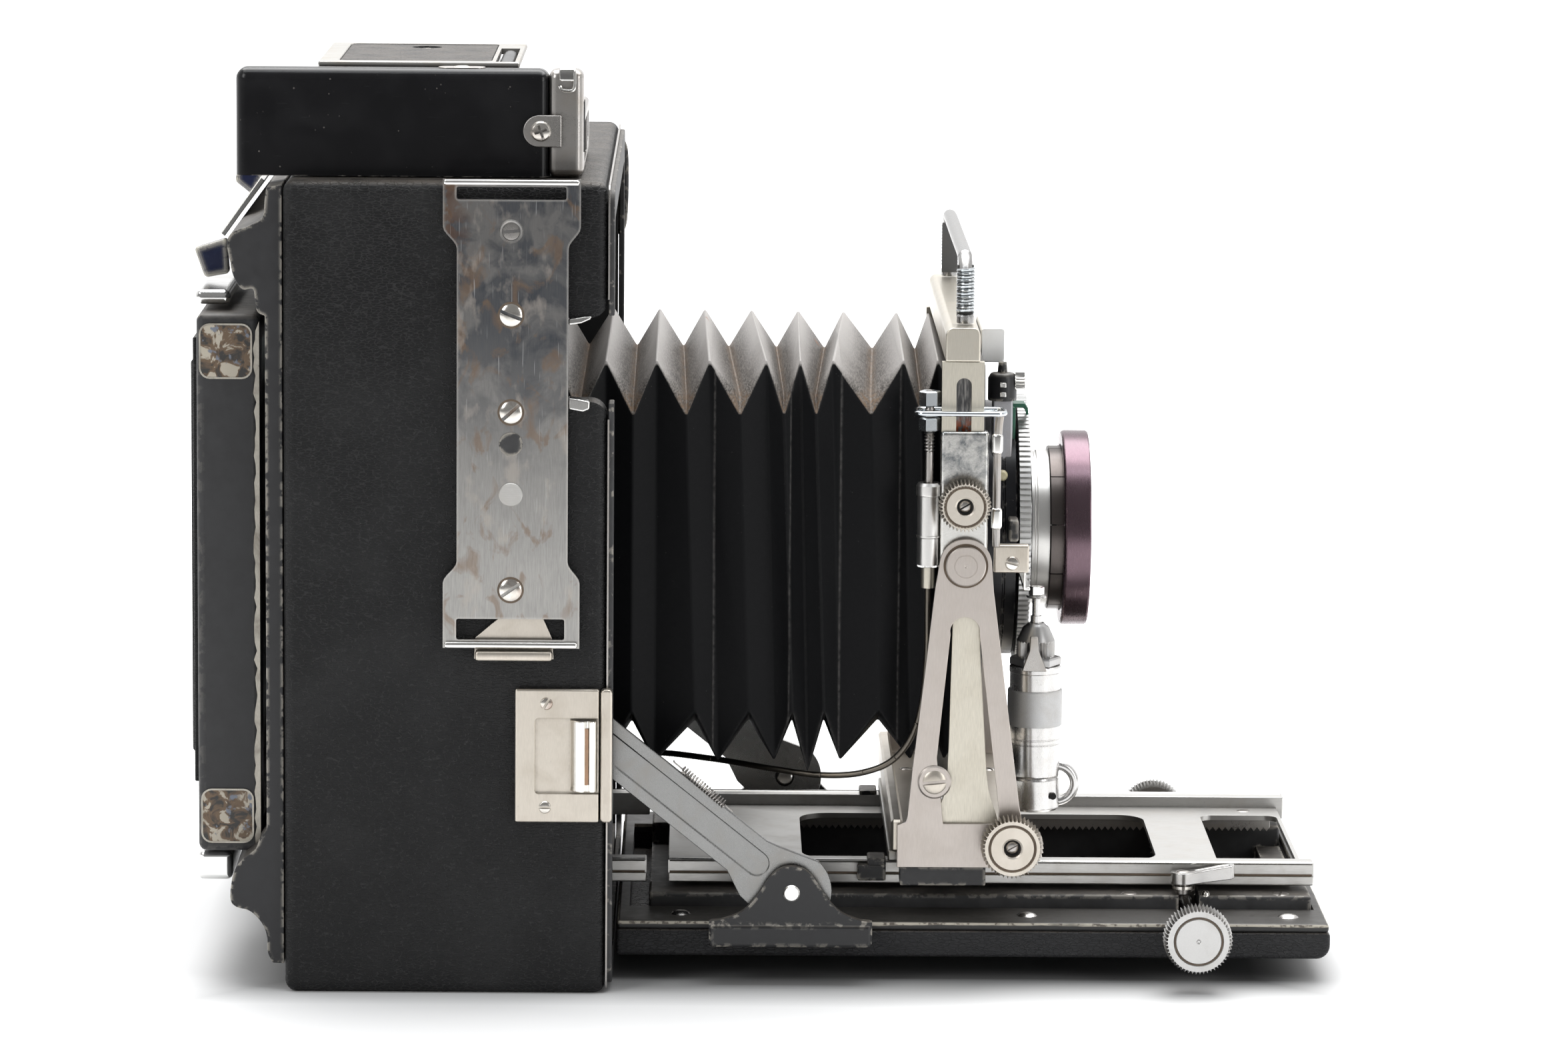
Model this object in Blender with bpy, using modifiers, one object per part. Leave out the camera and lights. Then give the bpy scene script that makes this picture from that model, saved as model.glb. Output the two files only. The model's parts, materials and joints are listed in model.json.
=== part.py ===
"""A folding 4x5 press camera, open on its bed, as separate solids.

Sizes are in millimetres (MM turns them into metres).  +X runs from the back
to the lens, -Y is the operator's right-hand side and +Z is up.  The origin is
the middle of the body's flat bottom.  Moving pieces hang on an empty that
stands on their joint's axis.
"""
import math

import bmesh
import bpy
from mathutils import Matrix, Vector

MM = 0.001
GAP = 0.3

# ---- driving dimensions -------------------------------------------------
BODY_BACK, BODY_FRONT = -38.0, 37.0
BODY_HALF_WIDTH = 84.0
BODY_HEIGHT = 191.0
BODY_WALL = 9.0
BODY_ROUND = 5.0
PARTITION = (-31.0, -28.0)

LENS_Z = 99.0
BELLOWS_BACK, BELLOWS_FRONT = -27.4, 126.6
BELLOWS_FOLDS = 13

BED_BACK, BED_FRONT = 39.3, 209.0
BED_HALF_WIDTH = 67.0
BED_BOTTOM, BED_TOP = 5.6, 14.0
BED_HINGE = (41.0, 0.0, 6.5)

STRUT_Y = 71.0
STRUT_PIN = (80.8, 22.5)
STRUT_STUD = (25.0, 67.0)
STRUT_FOOT = 9.5

RAIL_INNER, RAIL_OUTER = 38.5, 44.0
RAIL_BOTTOM, RAIL_TOP = 18.6, 24.2
TRACK_BACK, TRACK_FRONT = 51.5, 207.0
FOCUS_AXIS = (176.6, 0.0, 12.8)
PINION_Y = (30.1, 35.1)
FOCUS_KNOB_RADIUS = 8.1

TILT_AXIS = (121.5, 0.0, 98.7)
SWING_AXIS = (121.5, 0.0, 28.0)
FRAME_PLATE_Y = 58.6
SLEEVE_X = (115.3, 126.7)
POST_X = (116.0, 125.4)
RISE_KNOB = (121.0, 113.4)
BASE_KNOB = (133.1, 32.2)

SHUTTER_RADIUS = 31.0
RING_RADIUS = 33.0
BARREL_RADIUS = 19.05
FILTER_RADIUS = 23.9
SOLENOID_X, SOLENOID_Y = 139.6, -36.0
SHAFT_X, SHAFT_Y = 112.7, -56.4
BAIL_PIVOT_X, BAIL_PIVOT_Z = 120.9, 157.4

FINISHES = {
    "leatherette": ((0.012, 0.012, 0.013), 0.55, 0.0),
    "black_gloss": ((0.008, 0.008, 0.010), 0.22, 0.0),
    "black_matt": ((0.015, 0.015, 0.015), 0.60, 0.0),
    "navy_gloss": ((0.010, 0.014, 0.045), 0.20, 0.3),
    "satin_nickel": ((0.62, 0.59, 0.54), 0.34, 1.0),
    "satin_steel": ((0.45, 0.43, 0.41), 0.38, 1.0),
    "chrome": ((0.80, 0.80, 0.80), 0.12, 1.0),
    "aluminium": ((0.66, 0.66, 0.65), 0.35, 1.0),
    "bellows_cloth": ((0.020, 0.019, 0.018), 0.70, 0.0),
    "glass": ((0.55, 0.62, 0.65), 0.05, 0.0),
    "purple_anodised": ((0.10, 0.04, 0.08), 0.30, 0.8),
    "green_paint": ((0.01, 0.10, 0.06), 0.35, 0.0),
}


# ---- the scene ----------------------------------------------------------
for old in list(bpy.data.objects):
    bpy.data.objects.remove(old, do_unlink=True)
CAMERA_PARTS = bpy.data.collections.new("press_camera")
bpy.context.scene.collection.children.link(CAMERA_PARTS)


# ---- modelling tools ----------------------------------------------------
def empty(name, at):
    """An empty on a joint's axis, for moving pieces to hang on."""
    node = bpy.data.objects.new(name, None)
    node.location = Vector(at) * MM
    CAMERA_PARTS.objects.link(node)
    return node


def hang(parent, *pieces):
    """Parent the pieces to an empty without moving them."""
    bpy.context.view_layer.update()
    for piece in pieces:
        piece.parent = parent
        piece.matrix_parent_inverse = parent.matrix_world.inverted()


def from_bmesh(name, bm, at=(0, 0, 0), turn=(0, 0, 0)):
    mesh = bpy.data.meshes.new(name)
    bm.normal_update()
    bmesh.ops.recalc_face_normals(bm, faces=bm.faces)
    bm.to_mesh(mesh)
    bm.free()
    piece = bpy.data.objects.new(name, mesh)
    piece.location = Vector(at) * MM
    piece.rotation_euler = turn
    CAMERA_PARTS.objects.link(piece)
    return piece


def settle(piece):
    """Turn the piece's modifiers, or its curve, into a plain closed mesh."""
    deps = bpy.context.evaluated_depsgraph_get()
    mesh = bpy.data.meshes.new_from_object(piece.evaluated_get(deps))
    bm = bmesh.new()
    bm.from_mesh(mesh)
    bmesh.ops.remove_doubles(bm, verts=bm.verts, dist=1e-6)
    bmesh.ops.dissolve_degenerate(bm, edges=bm.edges, dist=1e-7)
    bmesh.ops.recalc_face_normals(bm, faces=bm.faces)
    bm.to_mesh(mesh)
    bm.free()
    name, place = piece.name, piece.matrix_world.copy()
    bpy.data.objects.remove(piece, do_unlink=True)
    solid = bpy.data.objects.new(name, mesh)
    solid.matrix_world = place
    CAMERA_PARTS.objects.link(solid)
    return solid


def box(name, low, high, bevel=0.0, segments=2):
    """A block between two corners, with rounded edges."""
    size = [b - a for a, b in zip(low, high)]
    middle = [(a + b) / 2 for a, b in zip(low, high)]
    bm = bmesh.new()
    bmesh.ops.create_cube(bm, size=1.0)
    bmesh.ops.scale(bm, vec=Vector(size) * MM, verts=bm.verts)
    piece = from_bmesh(name, bm, middle)
    if bevel:
        rounding = piece.modifiers.new("rounded edges", "BEVEL")
        rounding.width = bevel * MM
        rounding.segments = segments
        rounding.limit_method = "NONE"
    return settle(piece)


AXIS_TURNS = {"X": (0, math.pi / 2, 0), "Y": (-math.pi / 2, 0, 0), "Z": (0, 0, 0)}


def cylinder(name, middle, radius, length, axis="Z", sides=24, bevel=0.0, tip_radius=None):
    bm = bmesh.new()
    tip = radius if tip_radius is None else tip_radius
    bmesh.ops.create_cone(bm, cap_ends=True, segments=sides, radius1=radius * MM,
                          radius2=tip * MM, depth=length * MM)
    piece = from_bmesh(name, bm, middle, AXIS_TURNS[axis])
    if bevel:
        rounding = piece.modifiers.new("rounded rims", "BEVEL")
        rounding.width = bevel * MM
        rounding.segments = 1
        rounding.limit_method = "ANGLE"
        rounding.angle_limit = math.radians(50)
    return settle(piece)


def turned(name, profile, at, axis="Z", sides=32):
    """A profile of (radius, height) points turned about an axis through at."""
    bm = bmesh.new()
    verts = [bm.verts.new((r * MM, 0, h * MM)) for r, h in profile]
    for a, b in zip(verts, verts[1:]):
        bm.edges.new((a, b))
    if profile[0][0] > 0 and profile[-1][0] > 0:
        bm.edges.new((verts[-1], verts[0]))
    piece = from_bmesh(name, bm, at, AXIS_TURNS[axis])
    screw = piece.modifiers.new("turned", "SCREW")
    screw.axis = "Z"
    screw.steps = screw.render_steps = sides
    screw.use_merge_vertices = True
    screw.merge_threshold = 0.00002
    return settle(piece)


def arc(cx, cy, radius, start, stop, count=6):
    """Points along an arc, angles in degrees."""
    step = (stop - start) / count
    return [(cx + radius * math.cos(math.radians(start + i * step)),
             cy + radius * math.sin(math.radians(start + i * step))) for i in range(count + 1)]


def rounded_rectangle(x0, x1, y0, y1, radius, count=4):
    return (arc(x1 - radius, y1 - radius, radius, 0, 90, count)
            + arc(x0 + radius, y1 - radius, radius, 90, 180, count)
            + arc(x0 + radius, y0 + radius, radius, 180, 270, count)
            + arc(x1 - radius, y0 + radius, radius, 270, 360, count))


PLANES = {"XY": (0, 0, 0), "XZ": (math.pi / 2, 0, 0), "YZ": (math.pi / 2, 0, math.pi / 2)}


def plate(name, outlines, plane, low, high):
    """A flat outline, with any holes after it, as thick as from low to high."""
    curve = bpy.data.curves.new(name, "CURVE")
    curve.dimensions = "2D"
    curve.fill_mode = "BOTH"
    curve.extrude = (high - low) / 2 * MM
    for outline in outlines:
        spline = curve.splines.new("POLY")
        spline.points.add(len(outline) - 1)
        for point, (a, b) in zip(spline.points, outline):
            point.co = (a * MM, b * MM, 0, 1)
        spline.use_cyclic_u = True
    piece = bpy.data.objects.new(name, curve)
    piece.rotation_euler = PLANES[plane]
    middle = (low + high) / 2 * MM
    piece.location = {"XY": (0, 0, middle), "XZ": (0, middle, 0), "YZ": (middle, 0, 0)}[plane]
    CAMERA_PARTS.objects.link(piece)
    bpy.context.view_layer.update()
    return settle(piece)


def smooth_route(points, count):
    """A smooth curve through the route's points, read at an even count."""
    ends = [points[0], *points, points[-1]]
    route = []
    spans = len(points) - 1
    for i in range(count + 1):
        along = i / count * spans
        k = min(int(along), spans - 1)
        t = along - k
        p0, p1, p2, p3 = (Vector(p) for p in ends[k:k + 4])
        route.append(0.5 * (2 * p1 + (p2 - p0) * t + (2 * p0 - 5 * p1 + 4 * p2 - p3) * t * t
                            + (3 * p1 - p0 - 3 * p2 + p3) * t ** 3))
    return route


def wire(name, points, radius, closed=False, resolution=2):
    curve = bpy.data.curves.new(name, "CURVE")
    curve.dimensions = "3D"
    curve.bevel_depth = radius * MM
    curve.bevel_resolution = resolution
    curve.use_fill_caps = not closed
    spline = curve.splines.new("POLY")
    spline.points.add(len(points) - 1)
    for point, at in zip(spline.points, points):
        point.co = (*(Vector(at) * MM), 1)
    spline.use_cyclic_u = closed
    piece = bpy.data.objects.new(name, curve)
    CAMERA_PARTS.objects.link(piece)
    bpy.context.view_layer.update()
    return settle(piece)


def combine(piece, others, operation):
    """Cut the others from the piece, or join them to it."""
    for other in others:
        step = piece.modifiers.new(operation, "BOOLEAN")
        step.operation = operation
        step.solver = "EXACT"
        step.object = other
        bpy.context.view_layer.update()
        piece = settle(piece)
        bpy.data.objects.remove(other, do_unlink=True)
    return piece


def cut(piece, *others):
    return combine(piece, others, "DIFFERENCE")


def join(piece, *others):
    return combine(piece, others, "UNION")


def mirrored(piece, name):
    """The same piece on the far side of the camera."""
    bm = bmesh.new()
    bm.from_mesh(piece.data)
    bm.transform(Matrix.Scale(-1, 4, (0, 1, 0)) @ piece.matrix_world)
    return from_bmesh(name, bm)


def finish(piece, look):
    """Give the piece its own material and smooth shading."""
    colour, roughness, metallic = FINISHES[look]
    material = bpy.data.materials.new(piece.name + "_" + look)
    material.use_nodes = True
    shader = material.node_tree.nodes["Principled BSDF"]
    shader.inputs["Base Color"].default_value = (*colour, 1)
    shader.inputs["Roughness"].default_value = roughness
    shader.inputs["Metallic"].default_value = metallic
    piece.data.materials.clear()
    piece.data.materials.append(material)
    piece.data.shade_smooth()
    piece.data.set_sharp_from_angle(angle=math.radians(35))
    return piece


# ---- body ---------------------------------------------------------------
def body_shell():
    """The leather covered casing: open front and back, with a bellows wall."""
    half, back, front = BODY_HALF_WIDTH, BODY_BACK, BODY_FRONT
    shell = box("body_shell", (back, -half, 0), (front, half, BODY_HEIGHT), BODY_ROUND, 3)
    inside = half - BODY_WALL
    bay = box("bay", (PARTITION[1], -inside, BODY_WALL), (front + 10, inside, BODY_HEIGHT - 10))
    back_bay = box("back_bay", (back - 10, -72, 20), (PARTITION[0], 72, 172))
    window = box("window", (back, -57, 44), (0, 57, 154))
    side_slot = box("side_slot", (27.8, -half - 5, 140.2), (front + 5, -inside + 5, 159.8))
    shell = cut(shell, bay, back_bay, window, side_slot)
    studs = []
    for side in (-1, 1):
        studs.append(cylinder("stud", (STRUT_STUD[0], side * (STRUT_Y + 1.6), STRUT_STUD[1]),
                              2.0, 5.4, "Y", 16))
    return finish(join(shell, *studs), "leatherette")


def front_trim():
    """The thin metal frame round the front edge, open at the side slot."""
    outer = rounded_rectangle(-82.8, 82.8, 1.6, 189.4, 5)
    inner = rounded_rectangle(-76.2, 76.2, 8.0, 182.0, 3)
    trim = plate("front_trim", [outer, inner], "YZ", BODY_FRONT + GAP, BODY_FRONT + 1.6)
    gap = box("trim_gap", (30, -90, 139.8), (50, -70, 160.2))
    return finish(cut(trim, gap), "satin_steel")


def flash_plate():
    """The flash bracket: a steel strap with flared slotted ends on spacers."""
    left, right, wide_left, wide_right = 2.3, 28.0, -0.9, 30.8
    low, high, flare = 82.7, 192.0, 15.0
    near, far = -86.6, -85.4
    outline = [(wide_left, low), (wide_right, low), (wide_right, low + flare), (right, low + 18),
               (right, high - 18), (wide_right, high - flare), (wide_right, high),
               (wide_left, high), (wide_left, high - flare), (left, high - 18), (left, low + 18),
               (wide_left, low + flare)]
    top_slot = [(2.4, 187.2), (2.4, 190.2), (27.6, 190.2), (27.6, 187.2)]
    bottom_slot = [(2.4, 84.6), (2.4, 89.6), (27.4, 89.6), (27.4, 84.6)]
    strap = plate("flash_plate", [outline, top_slot, bottom_slot], "XZ", near, far)
    feet = [cylinder("foot", (14.8, (far - 84.3) / 2, z), 2.4, 1.3, "Y", 16)
            for z in (180.0, 160.6, 138.0, 96.4)]
    return finish(join(strap, *feet), "satin_steel")


def flash_latch():
    """The sprung catch behind the lower bar of the flash bracket."""
    outline = [(13.0, 90.4), (6.6, 84.9), (6.3, 79.9), (24.8, 79.9), (24.4, 84.9), (22.0, 90.4)]
    tongue = plate("flash_latch", [outline], "XZ", -85.1, -84.3)
    lip = box("lip", (6.6, -88.4, 79.9), (24.6, -84.6, 82.2), 0.7, 2)
    return finish(join(tongue, lip), "chrome")


def release_plate():
    """The nickel plate round the release trigger, recessed for its travel."""
    plate_body = box("release_plate", (16.0, -86.0, 41.4), (38.6, -84.3, 73.0), 0.4, 1)
    pocket = box("pocket", (20.6, -90, 48.4), (35.4, -84.8, 66.2))
    return finish(cut(plate_body, pocket), "satin_nickel")


def release_trigger():
    """The ribbed sliding trigger inside the release plate."""
    block = box("release_trigger", (28.6, -88.4, 48.9), (35.0, -85.1, 65.7), 0.6, 2)
    groove = box("groove", (30.0, -92, 47.0), (31.2, -87.6, 67.0))
    return finish(cut(block, groove), "satin_nickel")


# ---- rangefinder --------------------------------------------------------
def rangefinder_housing():
    """A shell: wide near end, tall middle with the finder, low far end."""
    base = BODY_HEIGHT + GAP
    near_end = box("rangefinder_housing", (-48.8, -74, base - 6), (24.0, -65, 216.2), 1.6, 3)
    tall = box("tall", (-42.0, -67, base - 7), (23.4, -3, 215.4), 1.6, 2)
    low = box("low", (-34.0, -6, base - 8), (22.6, 62, 207.0), 3.0, 2)
    eyepiece = cylinder("eyepiece", (-44.0, -38.0, 203.5), 6.0, 9.0, "X", 24, 0.8)
    shell = join(near_end, tall, low, eyepiece)
    hollow_near = box("hollow_near", (-46.4, -71.6, base - 12), (21.6, -62, 213.4))
    hollow_tall = box("hollow_tall", (-39.6, -66, base - 13), (30.0, -5.4, 212.9))
    hollow_low = box("hollow_low", (-31.6, -9, base - 14), (20.2, 59.6, 204.6))
    eye = cylinder("eye", (-44.0, -38.0, 203.5), 3.6, 14.0, "X", 16)
    far_window = box("far_window", (16.0, 40.0, 196.4), (30.0, 52.0, 202.6))
    under = box("under", (-60.0, -90.0, base - 20), (60.0, 90.0, base))
    shell = cut(shell, under, hollow_near, hollow_tall, hollow_low, eye, far_window)
    return finish(shell, "black_gloss")


def rangefinder_front():
    """The metal front bezel with the finder window and its side tab."""
    base = BODY_HEIGHT + GAP
    bezel = box("rangefinder_front", (24.3, -74.0, base), (32.5, -4.0, 216.2), 1.6, 2)
    finder = box("finder", (20, -62, 195.6), (40, -34, 212.0))
    window = box("window", (20, -24, 198.0), (40, -12, 208.0))
    bezel = cut(bezel, finder, window)
    tab = cylinder("tab", (21.2, -74.7, 202.1), 3.7, 0.9, "Y", 24)
    bridge = box("bridge", (21.2, -75.15, 198.4), (26.0, -74.25, 205.8))
    root = box("root", (24.6, -75.1, 198.4), (27.0, -73.0, 205.8))
    return finish(join(bezel, tab, bridge, root), "satin_steel")


def rangefinder_top():
    """The raised top plate, a metal frame round a leather panel."""
    frame = box("rangefinder_top", (-31.0, -63.0, 215.7), (16.0, -4.4, 217.1), 0.4, 1)
    panel = box("panel", (-25.6, -59.5, 216.7), (8.8, -7.9, 220.0))
    return finish(cut(frame, panel), "aluminium")


def rangefinder_arm():
    """The swinging mirror arm, with its mirror standing on one end."""
    arm = box("rangefinder_arm", (-16.0, -22.0, 194.0), (14.0, -17.6, 196.0), 0.3, 1)
    mirror = box("mirror", (9.0, -21.6, 195.8), (10.4, -18.0, 205.0))
    hub = cylinder("hub", (-14.0, -19.8, 196.2), 3.4, 5.0, "Z", 16)
    return finish(join(arm, mirror, hub), "satin_steel")


# ---- back ---------------------------------------------------------------
def back_frame():
    """The cast back frame, with a hooked bar along its top and its bottom."""
    front = BODY_BACK - GAP
    outline = [(front, 6.3), (front, 189.8), (-41.8, 189.4), (-42.6, 182.0), (-49.7, 178.6),
               (-51.0, 176.4), (-50.4, 171.0), (-48.5, 166.5), (-46.6, 165.4), (-44.9, 165.7),
               (-44.4, 160.6), (-42.2, 159.4), (-42.2, 38.0), (-44.2, 35.6), (-46.0, 30.6),
               (-49.6, 29.8), (-51.0, 21.8), (-49.6, 19.6), (-46.2, 18.7), (-43.2, 15.7), (-42.2, 12.4),
               (-42.2, 9.0), (-40.9, 6.3)]
    casting = plate("back_frame", [outline], "XZ", -81.0, 81.0)
    window = box("window", (-60, -66, 40), (-30, 66, 157))
    return finish(cut(casting, window), "black_matt")


def focusing_panel():
    """The deep sprung frame that carries the ground glass and its hood."""
    panel = box("focusing_panel", (-59.0, -72.0, 31.2), (-45.4, 72.0, 158.6), 2.4, 2)
    opening = box("opening", (-70, -60, 42), (-30, 60, 148))
    rebate = box("rebate", (-52.6, -64, 38), (-30, 64, 152))
    return finish(cut(panel, opening, rebate), "black_matt")


def ground_glass():
    glass = box("ground_glass", (-52.2, -63.6, 38.4), (-50.2, 63.6, 151.6))
    return finish(glass, "glass")


def hood_cover():
    """The lid of the folding hood, with a shallow pressed bulge."""
    lid = box("hood_cover", (-60.6, -62.0, 46.0), (-59.3, 62.0, 152.0), 0.4, 1)
    bulge = box("bulge", (-61.6, -56.0, 52.0), (-59.8, 56.0, 146.0), 0.9, 2)
    return finish(join(lid, bulge), "black_matt")


def holder_lock(name, low, high):
    """One of the two slides that clamp a film holder to the back."""
    bar = box(name, (-59.8, -64.0, low), (-51.6, -12.0, high), 1.2, 2)
    return finish(bar, "chrome")


def back_latch():
    """A slanted spring leaf with two turned-out finger tabs."""
    leaf_line = [(-44.7, 187.4), (-45.7, 188.2), (-55.2, 174.8), (-54.2, 174.1)]
    leaf = plate("back_latch", [leaf_line], "XZ", -46.0, 46.0)
    near_line = [(-53.2, 165.4), (-59.0, 164.2), (-61.5, 171.3), (-55.4, 175.2), (-54.0, 174.0)]
    far_line = [(-53.6, 174.6), (-58.5, 178.6), (-57.6, 183.2), (-50.2, 182.6), (-50.4, 180.0)]
    near_tab = plate("near_tab", [near_line], "XZ", -46.0, -42.8)
    far_tab = plate("far_tab", [far_line], "XZ", 42.8, 46.0)
    return finish(join(leaf, near_tab, far_tab), "navy_gloss")


def inner_rails():
    """The rails inside the body that store the front standard."""
    base = box("inner_rails", (-24.0, -44.0, BODY_WALL + GAP), (36.0, 44.0, 12.0))
    pieces = []
    for side in (-1, 1):
        low, high = sorted((side * RAIL_INNER, side * RAIL_OUTER))
        pieces.append(box("post", (-24.0, low, 11.8), (36.0, high, 19.0)))
        pieces.append(box("rail", (-24.0, low, RAIL_BOTTOM), (46.3, high, RAIL_TOP), 0.3, 1))
    return finish(join(base, *pieces), "aluminium")


# ---- bellows ------------------------------------------------------------
def bellows_ring(along, ridge):
    """Half-width and half-height of the bellows at a ridge or a valley."""
    taper = max(0.0, (along - 30.0) / (BELLOWS_FRONT - 30.0))
    if ridge:
        return 53.5 - 7.0 * taper, 47.3 - 1.4 * taper
    return 58.6 - 9.2 * taper, 37.8


def bellows():
    """A pleated tube: top ridges sit over side valleys and the other way round."""
    bm = bmesh.new()
    rings = []
    count = 2 * BELLOWS_FOLDS
    for i in range(count + 1):
        along = BELLOWS_BACK + (BELLOWS_FRONT - BELLOWS_BACK) * i / count
        half_w, half_h = bellows_ring(along, i % 2 == 1)
        corners = [(half_w, half_h), (-half_w, half_h), (-half_w, -half_h), (half_w, -half_h)]
        rings.append([bm.verts.new((along * MM, y * MM, (LENS_Z - 1 + z) * MM))
                      for y, z in corners])
    for ring, after in zip(rings, rings[1:]):
        for k in range(4):
            bm.faces.new((ring[k], ring[(k + 1) % 4], after[(k + 1) % 4], after[k]))
    tube = from_bmesh("bellows", bm)
    cloth = tube.modifiers.new("cloth", "SOLIDIFY")
    cloth.thickness = 0.7 * MM
    cloth.offset = -1
    return finish(settle(tube), "bellows_cloth")


# ---- bed and track ------------------------------------------------------
def bed():
    """The drop bed: a leather covered lid with raised ledges inside."""
    half = BED_HALF_WIDTH
    tray = box("bed", (BED_BACK, -half, BED_BOTTOM), (BED_FRONT, half, BED_TOP), 1.6, 2)
    well = box("well", (BED_BACK + 3, -50.0, BED_BOTTOM + 2.2), (BED_FRONT - 2.4, 50.0, 30))
    x, _, z = FOCUS_AXIS
    shaft_slot = box("shaft_slot", (x - 2.5, -90, z - 2.5), (x + 2.5, 90, 30))
    return finish(cut(tray, well, shaft_slot), "leatherette")


def bed_bracket(name):
    """The arched bracket that holds the strut's lower pin."""
    outline = ([(61.4, 10.6), (99.8, 10.6), (99.8, 15.8), (94.0, 17.6)]
               + arc(80.8, 22.5, 6.4, 30, 150, 8) + [(67.6, 17.6), (61.4, 15.8)])
    bracket = plate(name, [outline], "XZ", -STRUT_Y - 3.6, -STRUT_Y - 1.3)
    foot = box("foot", (61.4, -STRUT_Y - 3.6, 9.4), (99.8, -BED_HALF_WIDTH - GAP, 11.6))
    pin = cylinder("pin", (STRUT_PIN[0], -STRUT_Y - 1.6, STRUT_PIN[1]), 2.0, 5.4, "Y", 16)
    return join(bracket, foot, pin)


def strut(name):
    """A channelled brace with a round foot and a slot for the body stud."""
    px, pz = STRUT_PIN
    sx, sz = STRUT_STUD
    lean = math.atan2(sz - pz, px - sx)
    back, up = -math.cos(lean), math.sin(lean)
    length = math.hypot(sz - pz, px - sx)

    def place(along, across):
        return (px + back * along + up * across, pz + up * along - back * across)

    half = 5.7
    foot = [place(*point) for point in arc(0, 0, STRUT_FOOT, 65, 285, 12)]
    outline = ([place(length + 18, -half), place(length + 18, half), place(10.0, half)]
               + foot + [place(11.2, -9.4), place(14.0, -half)])
    slot = [place(length - 3.2, -2.5), place(length - 3.2, 2.5),
            place(length + 13.0, 2.5), place(length + 13.0, -2.5)]
    eye = arc(px, pz, 2.5, 0, 337.5, 15)
    return plate(name, [outline, slot, eye], "XZ", -STRUT_Y - 0.9, -STRUT_Y + 0.6)


def track_base():
    """The fixed black bars on the bed that guide the focusing track."""
    bars = []
    for side in (-1, 1):
        low, high = sorted((side * 36.0, side * 49.6))
        bars.append(box("track_base", (47.0, low, BED_BOTTOM + 2.5), (206.0, high, 17.2), 0.5, 1))
    cross_back = box("cross", (47.0, -37, BED_BOTTOM + 2.5), (53.0, 37, 12.0))
    cross_front = box("cross", (200.0, -37, BED_BOTTOM + 2.5), (206.0, 37, 12.0))
    base = join(bars[0], cross_back, cross_front, bars[1])
    x, _, z = FOCUS_AXIS
    shaft_slot = box("shaft_slot", (x - 2.5, -60, z - 2.5), (x + 2.5, 60, 30))
    base = cut(base, shaft_slot)
    base.name = "track_base"
    return finish(base, "black_matt")


def focus_track():
    """The moving track: two grooved rails joined by a windowed plate."""
    sheet = [(TRACK_BACK, -RAIL_INNER - 1), (TRACK_BACK, RAIL_INNER + 1),
             (TRACK_FRONT, RAIL_INNER + 1), (TRACK_FRONT, -RAIL_INNER - 1)]
    windows = [rounded_rectangle(84.0, 172.0, -28.0, 28.0, 7, 4),
               rounded_rectangle(184.0, 204.0, -28.0, 28.0, 5, 4)]
    track = plate("focus_track", [sheet, *windows], "XY", 20.2, 21.6)
    for side in (-1, 1):
        low, high = sorted((side * RAIL_INNER, side * RAIL_OUTER))
        rail = box("rail", (TRACK_BACK, low, RAIL_BOTTOM), (TRACK_FRONT, high, RAIL_TOP), 0.3, 1)
        edge = side * RAIL_OUTER
        low, high = sorted((edge - side * 0.8, edge + side))
        groove = box("groove", (0, low, 19.6), (300, high, 20.6))
        low, high = sorted(side * y for y in PINION_Y)
        rack = box("rack", (TRACK_BACK + 2, low, 17.3), (TRACK_FRONT - 3, high, 20.6))
        track = join(track, cut(rail, groove), rack)
    return finish(track, "aluminium")


def focus_shaft():
    """The pinion shaft across the bed, with its two pinions."""
    x, _, z = FOCUS_AXIS
    shaft = cylinder("focus_shaft", (x, 0, z), 1.9, 145.0, "Y", 16)
    middle, width = sum(PINION_Y) / 2, PINION_Y[1] - PINION_Y[0]
    pinions = [cylinder("pinion", (x, side * middle, z), 4.2, width, "Y", 16) for side in (-1, 1)]
    return finish(join(shaft, *pinions), "satin_steel")


def side_knob(name, at, radius, inner, depth, side):
    """A knob on the near (-1) or far (+1) side, from inner outwards."""
    profile = [(0, 0), (radius * 0.45, 0), (radius * 0.45, depth * 0.25), (radius, depth * 0.25),
               (radius, depth * 0.9), (radius * 0.94, depth), (radius * 0.3, depth),
               (radius * 0.3, depth * 0.8), (0, depth * 0.8)]
    near = turned(name, profile, (at[0], 0, at[1]), "Y", 32)
    bpy.context.view_layer.update()
    turn = Matrix.Diagonal((1, side, 1, 1))
    bm = bmesh.new()
    bm.from_mesh(near.data)
    bm.transform(Matrix.Translation((0, side * inner * MM, 0)) @ turn @ near.matrix_world)
    bpy.data.objects.remove(near, do_unlink=True)
    return finish(from_bmesh(name, bm), "satin_nickel")


def track_lock():
    """The bent lever on the near bar that locks the track."""
    hub = cylinder("track_lock", (174.6, -47.0, 18.9), 2.6, 2.8, "Z", 20)
    outline = arc(175.0, -47.0, 2.4, 90, 270, 6) + [(187.4, -48.6), (187.6, -45.4)]
    lever = plate("lever", [outline], "XY", 20.0, 21.2)
    tip = box("tip", (182.0, -48.6, 20.4), (187.4, -45.4, 23.4), 0.8, 2)
    return finish(join(hub, lever, tip), "chrome")


def infinity_stop(name):
    """The folding stop that sets the standard's place on the rail."""
    lower = box(name, (97.0, -RAIL_OUTER - 2.6, 19.6), (103.8, -RAIL_OUTER - GAP, 24.8), 0.3, 1)
    leaf = box("leaf", (99.4, -RAIL_OUTER - 2.6, 24.5), (103.8, -RAIL_INNER, 25.9), 0.3, 1)
    return join(lower, leaf)


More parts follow.
